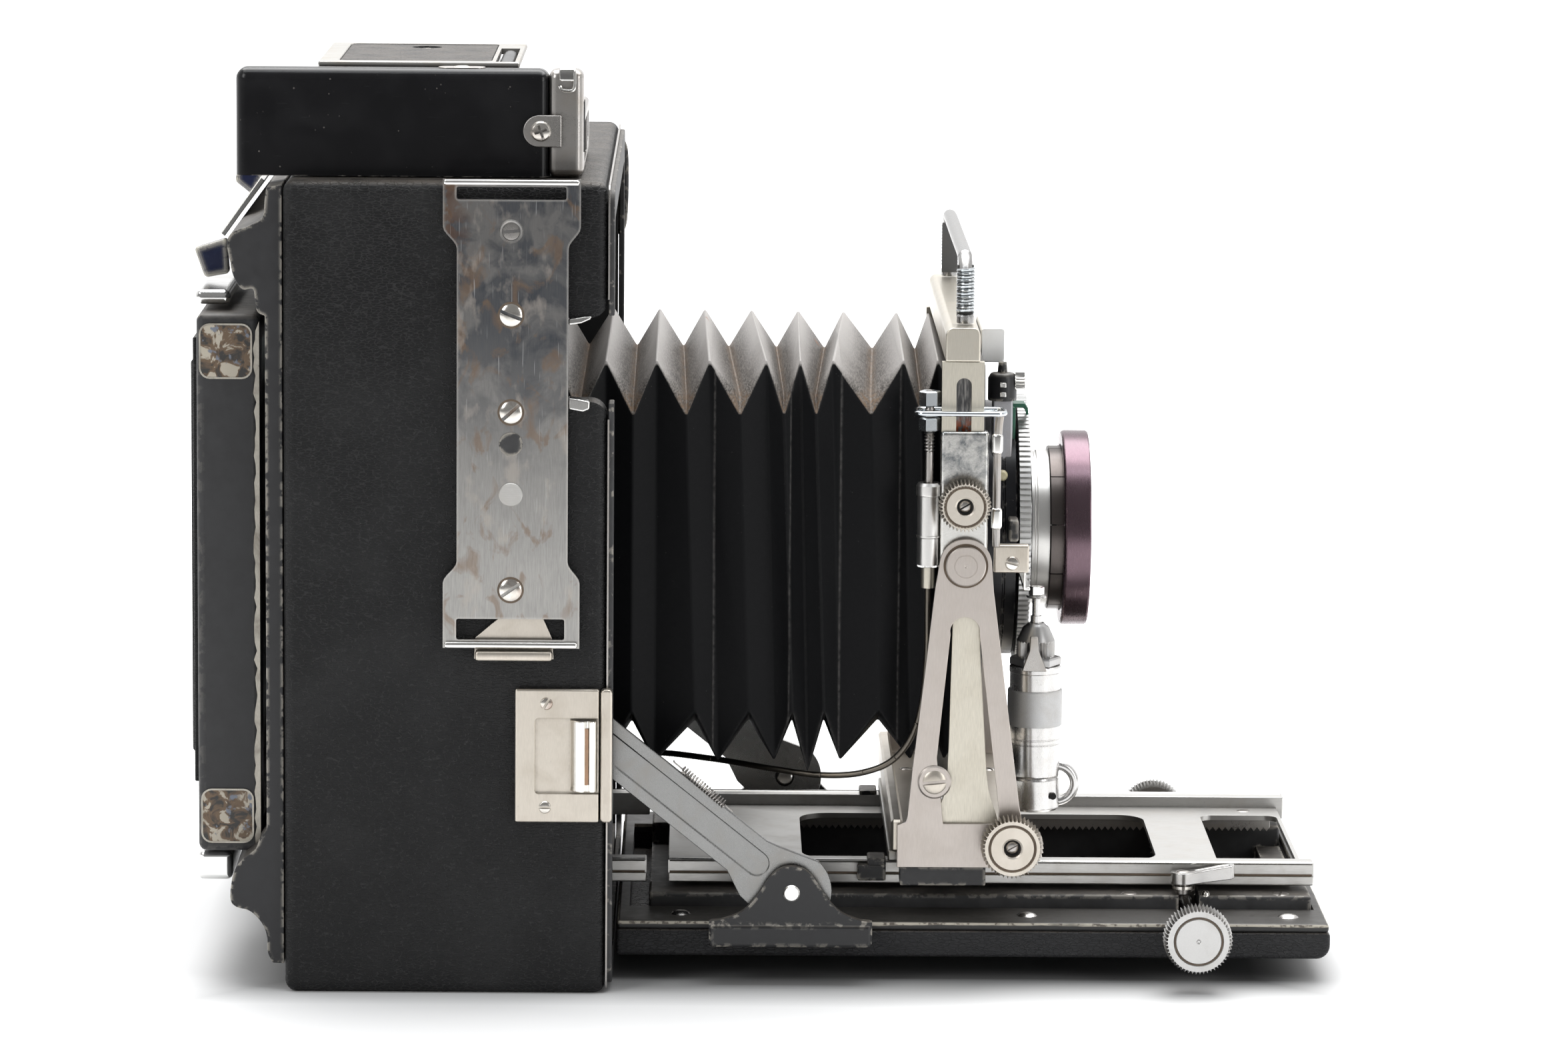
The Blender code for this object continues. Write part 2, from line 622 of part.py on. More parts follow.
# ---- front standard -----------------------------------------------------
def carriage():
    """The slide that runs on the rails and carries the front standard."""
    base = box("carriage", (106.0, -46.0, RAIL_TOP + GAP), (137.0, 46.0, 27.0), 0.4, 1)
    wall = box("wall", (104.3, -46.0, RAIL_TOP + GAP), (106.4, 46.0, 27.2), 0.4, 1)
    return finish(join(base, wall), "satin_nickel")


def cross_slide():
    """The plate that slides sideways over the carriage."""
    base = box("cross_slide", (108.0, -46.0, 27.3), (135.0, 46.0, 28.9), 0.3, 1)
    return finish(base, "satin_steel")


def swing_yoke():
    """The turning yoke between the two side plates, with its back wall."""
    base = box("swing_yoke", (107.0, -58.3, 29.2), (136.0, 58.3, 31.4), 0.3, 1)
    wall = box("wall", (104.6, -58.3, 29.2), (107.4, 58.3, 37.0), 0.6, 1)
    return finish(join(base, wall), "satin_nickel")


def side_plate(name):
    """The near side plate: an A with a cut-out and a recessed inner tongue."""
    outer = ([(106.0, 26.0), (137.0, 26.0), (137.0, 36.4), (135.4, 38.2), (130.6, 74.6),
              (128.6, 91.7)] + arc(121.5, 98.7, 6.2, 20, 160, 8)
             + [(114.2, 93.0), (112.2, 74.4), (109.6, 50.2), (108.2, 38.0), (106.0, 36.2)])
    window = ([(117.6, 36.6), (115.4, 52.5), (118.0, 80.0)] + arc(121.5, 82.4, 3.6, 170, 10, 6)
              + [(125.0, 80.0), (130.0, 40.0), (129.4, 36.6)])
    pivot_hole = arc(TILT_AXIS[0], TILT_AXIS[2], 3.6, 0, 342, 19)
    face = plate(name, [outer, window, pivot_hole], "XZ", -FRAME_PLATE_Y - 2.0,
                 -FRAME_PLATE_Y - 0.8)
    tongue_line = [(113.0, 33.0), (114.4, 36.8), (117.6, 44.0), (118.2, 62.0), (118.6, 92.0),
                   (124.6, 92.0), (125.8, 62.0), (126.4, 46.0), (129.6, 36.8), (130.6, 33.0)]
    tongue = plate("tongue", [tongue_line], "XZ", -FRAME_PLATE_Y - 0.9, -FRAME_PLATE_Y)
    screw = cylinder("screw", (114.8, -FRAME_PLATE_Y - 2.6, 46.7), 3.4, 1.6, "Y", 20)
    ear = cylinder("ear", (114.8, -FRAME_PLATE_Y - 1.4, 46.7), 4.2, 1.16, "Y", 20)
    return join(face, tongue, ear, screw)


def tilt_frame():
    """The tilting U: two post sleeves, their pivots and a low cross bar."""
    outer = FRAME_PLATE_Y - GAP
    halves = []
    for side in (-1, 1):
        low, high = sorted((side * outer, side * 53.9))
        sleeve = box("sleeve", (SLEEVE_X[0], low, 88.0), (SLEEVE_X[1], high, 130.4), 0.3, 1)
        low, high = sorted((side * 57.6, side * 54.6))
        bore = box("bore", (POST_X[0] - GAP, low, 60.0), (POST_X[1] + GAP, high, 150.0))
        sleeve = cut(sleeve, bore)
        low, high = sorted((side * outer, side * 57.6))
        leg = box("leg", (117.0, low, 40.0), (125.0, high, 89.0))
        pivot = cylinder("pivot", (TILT_AXIS[0], side * (FRAME_PLATE_Y + 0.9), TILT_AXIS[2]),
                         3.3, 2.8, "Y", 20)
        disc = cylinder("disc", (TILT_AXIS[0], side * (FRAME_PLATE_Y + 2.6), TILT_AXIS[2]),
                        4.8, 0.8, "Y", 24)
        halves.append(join(sleeve, leg, pivot, disc))
    bar = box("tilt_frame", (116.6, GAP - outer, 39.6), (125.4, outer - GAP, 42.4))
    frame = join(bar, *halves)
    return finish(frame, "chrome")


def lens_frame():
    """The rising frame: slotted posts, the top bar and the front ring plate."""
    bar = box("lens_frame", (116.2, -58.2, 147.0), (124.4, 58.2, 155.0), 1.2, 2)
    ring = plate("ring", [rounded_rectangle(-50, 50, 50.0, 147.6, 2),
                          rounded_rectangle(-38, 38, 61.0, 137.0, 3)], "YZ", 127.0, 129.3)
    pieces = [ring]
    for side in (-1, 1):
        low, high = sorted((side * 57.3, side * 54.9))
        post = box("post", (POST_X[0], low, 60.0), (POST_X[1], high, 148.0))
        slot = box("slot", (118.9, low - 2, 90.0), (122.6, high + 2, 143.0))
        cheek = box("cheek", (POST_X[0], low, 138.4), (129.3, high, 147.6))
        heel = box("heel", (POST_X[0], low, 60.0), (129.3, high, 65.4))
        low, high = sorted((side * 57.3, side * 48.0))
        wing = box("wing", (127.0, low, 138.4), (129.3, high, 147.6))
        low_wing = box("low_wing", (127.0, low, 60.0), (129.3, high, 65.4))
        pieces.append(join(cut(post, slot), cheek, heel, wing, low_wing))
    hook = box("hook", (123.0, -20.0, 147.2), (128.6, 20.0, 149.4))
    clamp = cylinder("clamp", (SHAFT_X, SHAFT_Y, 108.4), 2.3, 19.6, "Z", 16, 0.3)
    arm = box("arm", (SHAFT_X, -53.7, 96.0), (SHAFT_X + 2.1, -52.9, 148.2))
    arm_end = box("arm_end", (SHAFT_X - 0.6, -55.0, 100.0), (SHAFT_X + 1.2, -52.9, 117.0))
    arm_top = box("arm_top", (SHAFT_X, -53.7, 147.3), (118.0, -52.9, 150.0))
    clamp_bore = cylinder("clamp_bore", (SHAFT_X, SHAFT_Y, 108.4), 1.5, 30.0, "Z", 12)
    clamp = cut(join(clamp, arm_end, arm, arm_top), clamp_bore)
    frame = join(bar, *pieces, hook, clamp)
    return finish(frame, "satin_nickel")


def top_bail():
    """The spring-loaded carrying loop along the top bar."""
    x = BAIL_PIVOT_X
    reach = 51.0
    path = [(x, -reach, 158.0), (x, -reach, 168.0), (x, -reach + 1.2, 170.6), (x, -reach + 4, 172.0),
            (x, reach - 4, 172.0), (x, reach - 1.2, 170.6), (x, reach, 168.0), (x, reach, 158.0)]
    loop = wire("top_bail", path, 1.8, resolution=2)
    feet = [cylinder("foot", (x, side * reach, BAIL_PIVOT_Z), 2.05, 3.6, "Y", 16)
            for side in (-1, 1)]
    return finish(join(loop, *feet), "chrome")


def board_latch():
    """The sliding clip that holds the lens board's top edge."""
    clip = box("board_latch", (129.7, -14.0, 145.4), (131.4, 14.0, 154.0), 0.5, 1)
    lip = box("lip", (124.8, -14.0, 150.2), (131.0, 14.0, 154.0), 1.0, 2)
    return finish(join(clip, lip), "chrome")


def lens_board():
    """The metal lens board with its round opening."""
    outline = rounded_rectangle(-47, 47, 53.0, 145.0, 2)
    hole = arc(0, LENS_Z, 24.0, 0, 352.5, 47)
    return finish(plate("lens_board", [outline, hole], "YZ", 129.7, 131.9), "black_matt")


# ---- lens and shutter ---------------------------------------------------
def on_lens_axis(name, profile, look, sides=48):
    """A turned piece on the lens axis; heights in the profile are X places."""
    return finish(turned(name, profile, (0, 0, LENS_Z), "X", sides), look)


def shutter_body():
    """The shutter case with its rear lens cell, front hub and sync post."""
    profile = [(13.0, 118.0), (20.0, 118.0), (22.0, 124.0), (23.4, 124.0), (23.4, 132.2),
               (SHUTTER_RADIUS, 132.2), (SHUTTER_RADIUS, 136.2), (19.6, 136.2), (19.6, 140.0),
               (13.0, 140.0)]
    case = turned("shutter_body", profile, (0, 0, LENS_Z), "X", 48)
    stem = box("stem", (132.6, -22.6, 116.0), (135.8, -19.4, 133.0))
    post = cylinder("post", (135.0, -21.0, 137.0), 2.6, 11.0, "Z", 16, 0.5)
    screw = cylinder("screw", (135.0, -25.4, 138.6), 2.4, 7.0, "Y", 16)
    return finish(join(case, stem, post, screw), "black_gloss")


def shutter_blades():
    """The closed blades as one thin disc inside the case."""
    return finish(cylinder("shutter_blades", (134.0, 0, LENS_Z), 12.7, 0.4, "X", 32), "satin_steel")


def speed_ring():
    profile = [(20.0, 136.6), (RING_RADIUS, 136.6), (RING_RADIUS, 139.3), (20.0, 139.3)]
    return on_lens_axis("speed_ring", profile, "satin_nickel", 64)


def lens_barrel():
    """The front lens barrel, with the segmented slip-on ring."""
    profile = [(16.6, 140.3), (BARREL_RADIUS, 140.3), (BARREL_RADIUS, 143.4), (20.1, 143.4),
               (20.1, 149.6), (17.6, 149.6), (17.6, 146.0), (16.6, 146.0)]
    return on_lens_axis("lens_barrel", profile, "chrome")


def filter_ring():
    profile = [(20.5, 147.8), (FILTER_RADIUS, 147.8), (FILTER_RADIUS, 154.4), (21.4, 154.4),
               (21.4, 150.2), (20.5, 150.2)]
    return on_lens_axis("filter_ring", profile, "purple_anodised")


def front_glass():
    profile = [(0, 141.0), (16.2, 142.0), (16.2, 144.2), (10.0, 146.2), (0, 147.0)]
    return on_lens_axis("front_glass", profile, "glass", 32)


def aperture_pointer():
    """The green pointer that bridges the edge of the speed ring."""
    inner, outer = RING_RADIUS + 0.4, RING_RADIUS + 1.4
    near_edge = arc(0, LENS_Z, outer, 114, 121, 2)
    far_edge = arc(0, LENS_Z, inner, 121, 114, 2)
    bridge = plate("aperture_pointer", [near_edge + far_edge], "YZ", 133.2, 140.6)
    return finish(bridge, "green_paint")


def cocking_lever():
    """The shutter's cocking lever, on the near side of the case."""
    arm = box("cocking_lever", (132.6, -39.0, 101.2), (135.0, -SHUTTER_RADIUS - 0.5, 106.4), 0.4, 1)
    return finish(arm, "black_matt")


# ---- solenoid and release -----------------------------------------------
def solenoid():
    """The electric release: a turned case with a cone top and a ring hook."""
    profile = [(0, 35.6), (5.6, 35.6), (6.2, 36.4), (6.2, 43.4), (6.1, 44.0), (6.1, 55.6),
               (6.6, 55.6), (6.6, 64.6), (6.1, 64.6), (6.1, 69.4), (6.2, 69.6), (6.2, 72.0),
               (4.2, 72.4), (4.6, 74.6), (4.6, 78.4), (2.6, 80.2), (2.0, 83.0), (1.4, 83.0),
               (1.4, 76.0), (0, 76.0)]
    case = turned("solenoid", profile, (SOLENOID_X, SOLENOID_Y, 0), "Z", 24)
    ring = [(SOLENOID_X + 5.4 + 4.5 * math.cos(t), SOLENOID_Y, 41.2 + 4.5 * math.sin(t))
            for t in (2 * math.pi * i / 16 for i in range(16))]
    hook = wire("hook", ring, 1.3, closed=True, resolution=1)
    return finish(join(case, hook), "chrome")


def solenoid_plunger():
    """The plunger with the nut that pushes the shutter's release arm."""
    profile = [(0, 77.0), (1.05, 77.0), (1.05, 87.2), (1.8, 87.2), (1.8, 90.0), (0, 90.0)]
    return finish(turned("solenoid_plunger", profile, (SOLENOID_X, SOLENOID_Y, 0), "Z", 16),
                  "chrome")


def release_rod():
    """The threaded rod with its two hexagon nuts above the cable clamp."""
    profile = [(0, 97.2), (1.1, 97.2), (1.1, 130.0), (2.3, 130.0), (2.3, 133.6), (0.9, 133.6),
               (0.9, 136.2), (2.3, 136.2), (2.3, 140.0), (0, 140.0)]
    return finish(turned("release_rod", profile, (SHAFT_X, SHAFT_Y, 0), "Z", 12), "chrome")


def release_link():
    """The wire loop round the post, its down rod and the bracket it moves."""
    z = 134.9
    loop_line = [(x, y, z) for x, y in rounded_rectangle(109.6, 130.2, -60.4, -52.2, 1.8, 3)]
    loop = wire("release_link", loop_line, 0.7, closed=True, resolution=1)
    rod = cylinder("rod", (130.2, -55.0, 118.2), 0.9, 33.4, "Z", 12)
    bracket = box("bracket", (129.2, -57.4, 96.6), (136.6, -54.2, 103.0), 0.3, 1)
    toe = box("toe", (135.4, -56.2, 92.2), (137.4, -34.6, 97.2), 0.3, 1)
    return finish(join(loop, rod, bracket, toe), "satin_nickel")


def cable_release():
    """The sheathed cable from the release rod to the socket inside the body."""
    route = [(SHAFT_X, SHAFT_Y, 96.6), (SHAFT_X, SHAFT_Y, 88.0), (112.6, -56.2, 74.0),
             (110.6, -55.6, 60.0), (105.6, -54.4, 51.4), (98.0, -52.6, 47.4), (88.0, -49.0, 46.0),
             (76.0, -42.0, 46.2), (62.0, -31.0, 46.4), (46.0, -17.0, 45.2), (30.0, -6.0, 41.0),
             (18.0, -1.0, 32.0), (13.0, 0.0, 21.0), (12.6, 0.0, 12.4)]
    cable = wire("cable_release", smooth_route(route, 48), 0.9, resolution=1)
    return finish(cable, "satin_steel")


# ---- assembly -----------------------------------------------------------
def build():
    body_shell()
    front_trim()
    flash_plate()
    latch = flash_latch()
    hang(empty("flash_latch_axis", (15, -85, 85)), latch)
    release_plate()
    hang(empty("release_trigger_axis", (32, -86, 57)), release_trigger())
    rangefinder_housing()
    rangefinder_front()
    rangefinder_top()
    hang(empty("rangefinder_arm_axis", (-14.0, -19.8, 196.0)), rangefinder_arm())
    back_frame()
    panel_axis = empty("focusing_panel_axis", (-45, 0, 95))
    hang(panel_axis, focusing_panel(), ground_glass())
    hang(empty("hood_cover_axis", (-59.3, 0, 152.6)), hood_cover())
    hang(empty("holder_lock_top_axis", (-55, 0, 161)), holder_lock("holder_lock_top", 159.9, 163.4))
    hang(empty("holder_lock_bottom_axis", (-55, 0, 26)),
         holder_lock("holder_lock_bottom", 22.6, 29.6))
    hang(empty("back_latch_axis", (-45.0, 0, 187.6)), back_latch())
    inner_rails()
    bellows()

    bed_axis = empty("bed_axis", BED_HINGE)
    near_bracket = finish(bed_bracket("bed_bracket_near"), "black_gloss")
    far_bracket = finish(mirrored(near_bracket, "bed_bracket_far"), "black_gloss")
    hang(bed_axis, bed(), near_bracket, far_bracket, track_base())
    near_strut = finish(strut("strut_near"), "chrome")
    far_strut = finish(mirrored(near_strut, "strut_far"), "chrome")
    hang(empty("strut_axis", (STRUT_PIN[0], 0, STRUT_PIN[1])), near_strut, far_strut)

    track_axis = empty("focus_track_axis", (TRACK_BACK, 0, 20))
    hang(track_axis, focus_track())
    focus_at = (FOCUS_AXIS[0], FOCUS_AXIS[2])
    hang(empty("focus_shaft_axis", FOCUS_AXIS), focus_shaft(),
         side_knob("focus_knob_near", focus_at, FOCUS_KNOB_RADIUS, 72.8, 8.4, -1),
         side_knob("focus_knob_far", focus_at, FOCUS_KNOB_RADIUS, 72.8, 8.4, 1))
    hang(empty("track_lock_axis", (174.6, -47.0, 19)), track_lock())
    near_stop = finish(infinity_stop("infinity_stop_near"), "black_matt")
    far_stop = finish(mirrored(near_stop, "infinity_stop_far"), "black_matt")
    hang(empty("infinity_stop_axis", (100, 0, 20)), near_stop, far_stop)

    hang(empty("carriage_axis", (121, 0, 25)), carriage())
    hang(empty("cross_slide_axis", (121, 0, 28)), cross_slide())
    near_plate = finish(side_plate("side_plate_near"), "satin_nickel")
    far_plate = finish(mirrored(near_plate, "side_plate_far"), "satin_nickel")
    hang(empty("swing_axis", SWING_AXIS), swing_yoke(), near_plate, far_plate)
    for side, name in ((-1, "near"), (1, "far")):
        hang(empty("base_knob_axis_" + name, (BASE_KNOB[0], side * 61, BASE_KNOB[1])),
             side_knob("base_knob_" + name, BASE_KNOB, 7.4, 61.0, 7.6, side))
        hang(empty("rise_knob_axis_" + name, (RISE_KNOB[0], side * 59, RISE_KNOB[1])),
             side_knob("rise_knob_" + name, RISE_KNOB, 6.2, 59.2, 6.2, side))
    hang(empty("tilt_axis", TILT_AXIS), tilt_frame())
    hang(empty("rise_axis", (121, 0, 100)), lens_frame(), lens_board(), shutter_body(),
         shutter_blades(), lens_barrel(), filter_ring(), front_glass(), solenoid())
    hang(empty("top_bail_axis", (BAIL_PIVOT_X, 0, BAIL_PIVOT_Z)), top_bail())
    hang(empty("board_latch_axis", (130, 0, 150)), board_latch())
    lens_axis = empty("lens_axis", (138, 0, LENS_Z))
    hang(lens_axis, speed_ring(), aperture_pointer(), cocking_lever())
    hang(empty("plunger_axis", (SOLENOID_X, SOLENOID_Y, 80)), solenoid_plunger())
    hang(empty("release_axis", (SHAFT_X, SHAFT_Y, 120)), release_rod(), release_link())
    cable_release()


build()
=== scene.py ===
"""The looks of the press camera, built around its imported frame.

Lengths are in millimetres unless a name says otherwise (MM turns them into
metres).  +X runs from the back to the lens, -Y faces the viewer, +Z is up.
"""

import json
import math
import random

import bmesh
import bpy
from mathutils import Matrix, Vector


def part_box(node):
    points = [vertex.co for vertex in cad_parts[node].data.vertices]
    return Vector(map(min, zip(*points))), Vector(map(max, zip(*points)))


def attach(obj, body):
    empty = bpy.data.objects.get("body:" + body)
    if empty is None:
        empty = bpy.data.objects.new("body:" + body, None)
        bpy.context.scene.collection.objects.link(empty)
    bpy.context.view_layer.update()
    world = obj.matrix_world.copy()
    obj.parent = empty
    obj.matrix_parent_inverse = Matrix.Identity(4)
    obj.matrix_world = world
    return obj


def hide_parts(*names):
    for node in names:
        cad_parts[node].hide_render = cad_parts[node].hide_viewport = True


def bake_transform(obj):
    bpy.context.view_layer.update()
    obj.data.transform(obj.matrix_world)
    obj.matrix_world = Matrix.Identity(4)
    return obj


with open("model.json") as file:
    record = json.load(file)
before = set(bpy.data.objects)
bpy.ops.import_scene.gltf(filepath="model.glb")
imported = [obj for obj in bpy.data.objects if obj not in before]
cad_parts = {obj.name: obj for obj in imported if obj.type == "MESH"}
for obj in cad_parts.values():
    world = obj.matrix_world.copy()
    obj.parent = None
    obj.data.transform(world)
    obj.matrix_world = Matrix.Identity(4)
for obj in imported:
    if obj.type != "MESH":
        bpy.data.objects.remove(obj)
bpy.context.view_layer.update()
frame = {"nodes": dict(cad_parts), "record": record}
MM = 0.001
BODY_OF = {n: b for b, nodes in frame["record"]["behaviour"]["bodies"].items() for n in nodes}
SIDES = ((-1, "near"), (1, "far"))
WELD = 0.002

# The lens axis runs along X.  PIVOT, SHAFT, BRACE_PIN and BRACE_STUD are the X and
# Z of axes across the camera; STRUT_REACH is how far out the pins and studs sit.
# CLAMP, SOLENOID and LEVER_HUB stand upright.
LENS_AXIS = (0, 0, 99)
PIVOT = (121.5, 98.7)
SHAFT = (176.6, 12.8)
BRACE_PIN = (80.8, 22.5)
BRACE_STUD = (25.0, 67.0)
STRUT_REACH = 72.6
CLAMP = (112.7, -56.4, 0)
SOLENOID = (139.6, -36.0, 0)
LEVER_HUB = (175.2, -47.1)
STRAP_MIDDLE = 14.8


# ---- camera, floor and light -------------------------------------------
def linked(name, data):
    """A new object in the scene."""
    made = bpy.data.objects.new(name, data)
    bpy.context.scene.collection.objects.link(made)
    return made


def make_camera():
    """A long lens, a little above the camera body and turned down to it."""
    yaw, pitch, roll = 0.01243, 0.14977, 0.00876
    ahead = Vector((math.sin(yaw) * math.cos(pitch), math.cos(yaw) * math.cos(pitch),
                    -math.sin(pitch)))
    side = Vector((math.cos(yaw), -math.sin(yaw), 0))
    up = side.cross(ahead)
    right = math.cos(roll) * side + math.sin(roll) * up
    top = math.cos(roll) * up - math.sin(roll) * side
    camera = linked("camera", bpy.data.cameras.new("camera"))
    camera.data.lens = 143.57
    camera.data.sensor_width = 36.0
    camera.data.clip_start = 0.05
    camera.matrix_world = Matrix((right, top, -ahead)).transposed().to_4x4()
    camera.location = (0.06031, -1.51913, 0.32891)
    bpy.context.scene.camera = camera


def soft_light(name, at, aim, size, power, colour=(1, 1, 1)):
    """A wide lamp turned to the point aim."""
    lamp = bpy.data.lights.new(name, "AREA")
    lamp.shape = "RECTANGLE"
    lamp.size, lamp.size_y = size
    lamp.energy = power
    lamp.color = colour
    holder = linked(name, lamp)
    holder.location = at
    holder.rotation_euler = (Vector(aim) - Vector(at)).to_track_quat("-Z", "Y").to_euler()


def sum_node(tree, operation, first, second=0.0):
    """One step of sums between node values."""
    node = tree.nodes.new("ShaderNodeMath")
    node.operation = operation
    tree.links.new(first, node.inputs[0])
    if isinstance(second, float):
        node.inputs[1].default_value = second
    else:
        tree.links.new(second, node.inputs[1])
    return node.outputs[0]


def spread(tree, value, low, high, start, end):
    """The value's stretch from low to high, mapped onto start to end."""
    node = tree.nodes.new("ShaderNodeMapRange")
    for name, number in (("From Min", low), ("From Max", high), ("To Min", start), ("To Max", end)):
        node.inputs[name].default_value = number
    tree.links.new(value, node.inputs["Value"])
    return node.outputs[0]


def split_place(tree, kind):
    """The X, Y and Z of a texture coordinate."""
    where = tree.nodes.new("ShaderNodeTexCoord")
    parts = tree.nodes.new("ShaderNodeSeparateXYZ")
    tree.links.new(where.outputs[kind], parts.inputs[0])
    return parts.outputs


def make_studio():
    """A white floor that glows further back and darkens towards the viewer, under a soft sky."""
    bm = bmesh.new()
    bmesh.ops.create_grid(bm, x_segments=1, y_segments=1, size=6.0)
    mesh = bpy.data.meshes.new("studio_floor")
    bm.to_mesh(mesh)
    bm.free()
    floor = linked("studio_floor", mesh)
    paper = bpy.data.materials.new("studio_paper")
    paper.use_nodes = True
    tree = paper.node_tree
    shader = tree.nodes["Principled BSDF"]
    shader.inputs["Roughness"].default_value = 0.6
    shader.inputs["Specular IOR Level"].default_value = 0.2
    shader.inputs["Emission Color"].default_value = (1, 1, 1, 1)
    where = split_place(tree, "Object")
    # painted light: the floor glows further back, so the backdrop reads white
    glow = spread(tree, where["Y"], 0.12, 0.75, 0.0, 0.8)
    # painted shade: the floor is darker towards the viewer, so metals reflect a dim side
    tone = spread(tree, where["Y"], -1.15, -0.65, 0.10, 0.92)
    # a painted shadow under the bed: the middle and the half size of its outline along each axis
    past = []
    for axis, middle, half in (("X", 0.08, 0.127), ("Y", 0.0, 0.080)):
        offset = sum_node(tree, "SUBTRACT", where[axis], middle)
        past.append(sum_node(tree, "SUBTRACT", sum_node(tree, "ABSOLUTE", offset), half))
    shade = spread(tree, sum_node(tree, "MAXIMUM", *past), -0.016, 0.016, 0.16, 1.0)
    tree.links.new(sum_node(tree, "MULTIPLY", tone, shade), shader.inputs["Base Color"])
    tree.links.new(glow, shader.inputs["Emission Strength"])
    mesh.materials.append(paper)

    world = bpy.data.worlds.new("studio")
    bpy.context.scene.world = world
    world.use_nodes = True
    sky = world.node_tree
    background = sky.nodes["Background"]
    strength = spread(sky, split_place(sky, "Generated")["Y"], -0.55, 0.35, 0.26, 1.12)
    sky.links.new(strength, background.inputs["Strength"])
    background.inputs["Color"].default_value = (1, 1, 1, 1)
    soft_light("overhead", (0.1, 0.40, 1.1), (0.06, 0, 0.1), (1.3, 0.9), 19.0)
    soft_light("top_strip", (0.05, -0.22, 1.05), (0.05, 0, 0.1), (1.3, 0.12), 2.6, (0.93, 0.97, 1))
    soft_light("front_left", (-0.9, -1.1, 0.9), (0.05, 0, 0.1), (0.5, 0.9), 7.0)
    soft_light("front_right", (1.1, -0.9, 0.5), (0.1, 0, 0.08), (0.4, 0.9), 4.5)
    bpy.context.scene.view_settings.view_transform = "Standard"
    bpy.context.scene.view_settings.look = "None"


# ---- materials ----------------------------------------------------------
class Look:
    """A procedural material; sizes are in millimetres on the piece itself."""

    def __init__(self, name, colour, roughness, metallic=0.0, **sockets):
        self.material = bpy.data.materials.new(name)
        self.material.use_nodes = True
        self.tree = self.material.node_tree
        self.shader = self.tree.nodes["Principled BSDF"]
        self.colour = self.value = (*colour, 1)
        self.shader.inputs["Base Color"].default_value = self.colour
        self.shader.inputs["Roughness"].default_value = roughness
        self.shader.inputs["Metallic"].default_value = metallic
        for socket, value in sockets.items():
            self.shader.inputs[socket.replace("_", " ")].default_value = value
        where = self.node("ShaderNodeTexCoord", {}).outputs["Object"]
        self.place = self.node("ShaderNodeVectorMath", {0: where, 3: 1 / MM},
                               operation="SCALE").outputs[0]
        self.heights = []

    def node(self, kind, inputs, **settings):
        """A new node with its settings, its inputs linked or set."""
        made = self.tree.nodes.new(kind)
        for key, value in settings.items():
            setattr(made, key, value)
        for key, value in inputs.items():
            if isinstance(value, bpy.types.NodeSocket):
                self.tree.links.new(value, made.inputs[key])
            else:
                made.inputs[key].default_value = value
        return made

    def stretched(self, stretch):
        """The place on the piece, divided by each axis's stretch."""
        return self.node("ShaderNodeVectorMath", {0: self.place, 1: stretch},
                         operation="DIVIDE").outputs[0]

    def noise(self, size, detail=3.0, stretch=(1, 1, 1), roughness=0.55, distortion=0.0):
        """Soft clouds of about this size, around 0.5."""
        made = self.node("ShaderNodeTexNoise", {
            "Vector": self.stretched(stretch), "Scale": 1 / size, "Detail": detail,
            "Roughness": roughness, "Distortion": distortion})
        return made.outputs["Fac"]

    def cells(self, size, stretch=(1, 1, 1), feature="DISTANCE_TO_EDGE", warp=0.0):
        where = self.stretched(stretch)
        if warp:
            drift = self.node("ShaderNodeTexNoise", {"Vector": where, "Scale": 1 / size})
            shifted = self.node("ShaderNodeVectorMath",
                                {0: drift.outputs["Color"], 3: warp * size}, operation="SCALE")
            where = self.node("ShaderNodeVectorMath", {0: where, 1: shifted.outputs[0]},
                              operation="ADD").outputs[0]
        made = self.node("ShaderNodeTexVoronoi", {"Vector": where, "Scale": 1 / size},
                         feature=feature)
        return made.outputs["Distance"]

    def along(self, axis):
        """The place along an axis, in millimetres."""
        split = self.node("ShaderNodeSeparateXYZ", {0: self.place})
        return split.outputs[axis]

    def facing(self, axis):
        """1 where the surface faces along an axis, 0 where it is side on."""
        normal = self.node("ShaderNodeNewGeometry", {}).outputs["Normal"]
        split = self.node("ShaderNodeSeparateXYZ", {0: normal})
        return split.outputs[axis]

    def fit(self, value, low, high, start=0.0, end=1.0, kind="LINEAR"):
        """The value's stretch from low to high, mapped onto start to end."""
        made = self.node("ShaderNodeMapRange", {
            "Value": value, "From Min": low, "From Max": high, "To Min": start, "To Max": end},
            interpolation_type=kind)
        return made.outputs[0]

    def math(self, operation, a, b=0.0):
        return self.node("ShaderNodeMath", {0: a, 1: b}, operation=operation,
                         use_clamp=operation in ("MULTIPLY", "MAXIMUM")).outputs[0]

    def both(self, first, *others):
        """The product of several amounts, kept between 0 and 1."""
        for other in others:
            first = self.math("MULTIPLY", first, other)
        return first

    def edge(self, radius, sharpness=0.12):
        """1 on outer and inner edges, 0 on flat faces."""
        rounded = self.node("ShaderNodeBevel", {"Radius": radius * MM}, samples=4).outputs[0]
        plain = self.node("ShaderNodeNewGeometry", {}).outputs["Normal"]
        close = self.node("ShaderNodeVectorMath", {0: rounded, 1: plain},
                          operation="DOT_PRODUCT").outputs["Value"]
        return self.fit(close, 1.0 - sharpness * 0.15, 1.0 - sharpness)

    def crevice(self, distance):
        """1 in corners and gaps, 0 in the open; it is ambient occlusion, so colour mixed in by it is painted
        shade.
        """
        open_share = self.node("ShaderNodeAmbientOcclusion", {"Distance": distance * MM},
                               samples=4).outputs["AO"]
        return self.fit(open_share, 0.85, 0.35)

    def tint(self, amount, colour):
        """Mix a colour into the base colour where amount is high."""
        if isinstance(colour, tuple):
            colour = (*colour, 1)
        made = self.node("ShaderNodeMix", {0: amount, 6: self.value, 7: colour}, data_type="RGBA")
        self.value = made.outputs[2]
        self.tree.links.new(self.value, self.shader.inputs["Base Color"])
        return self

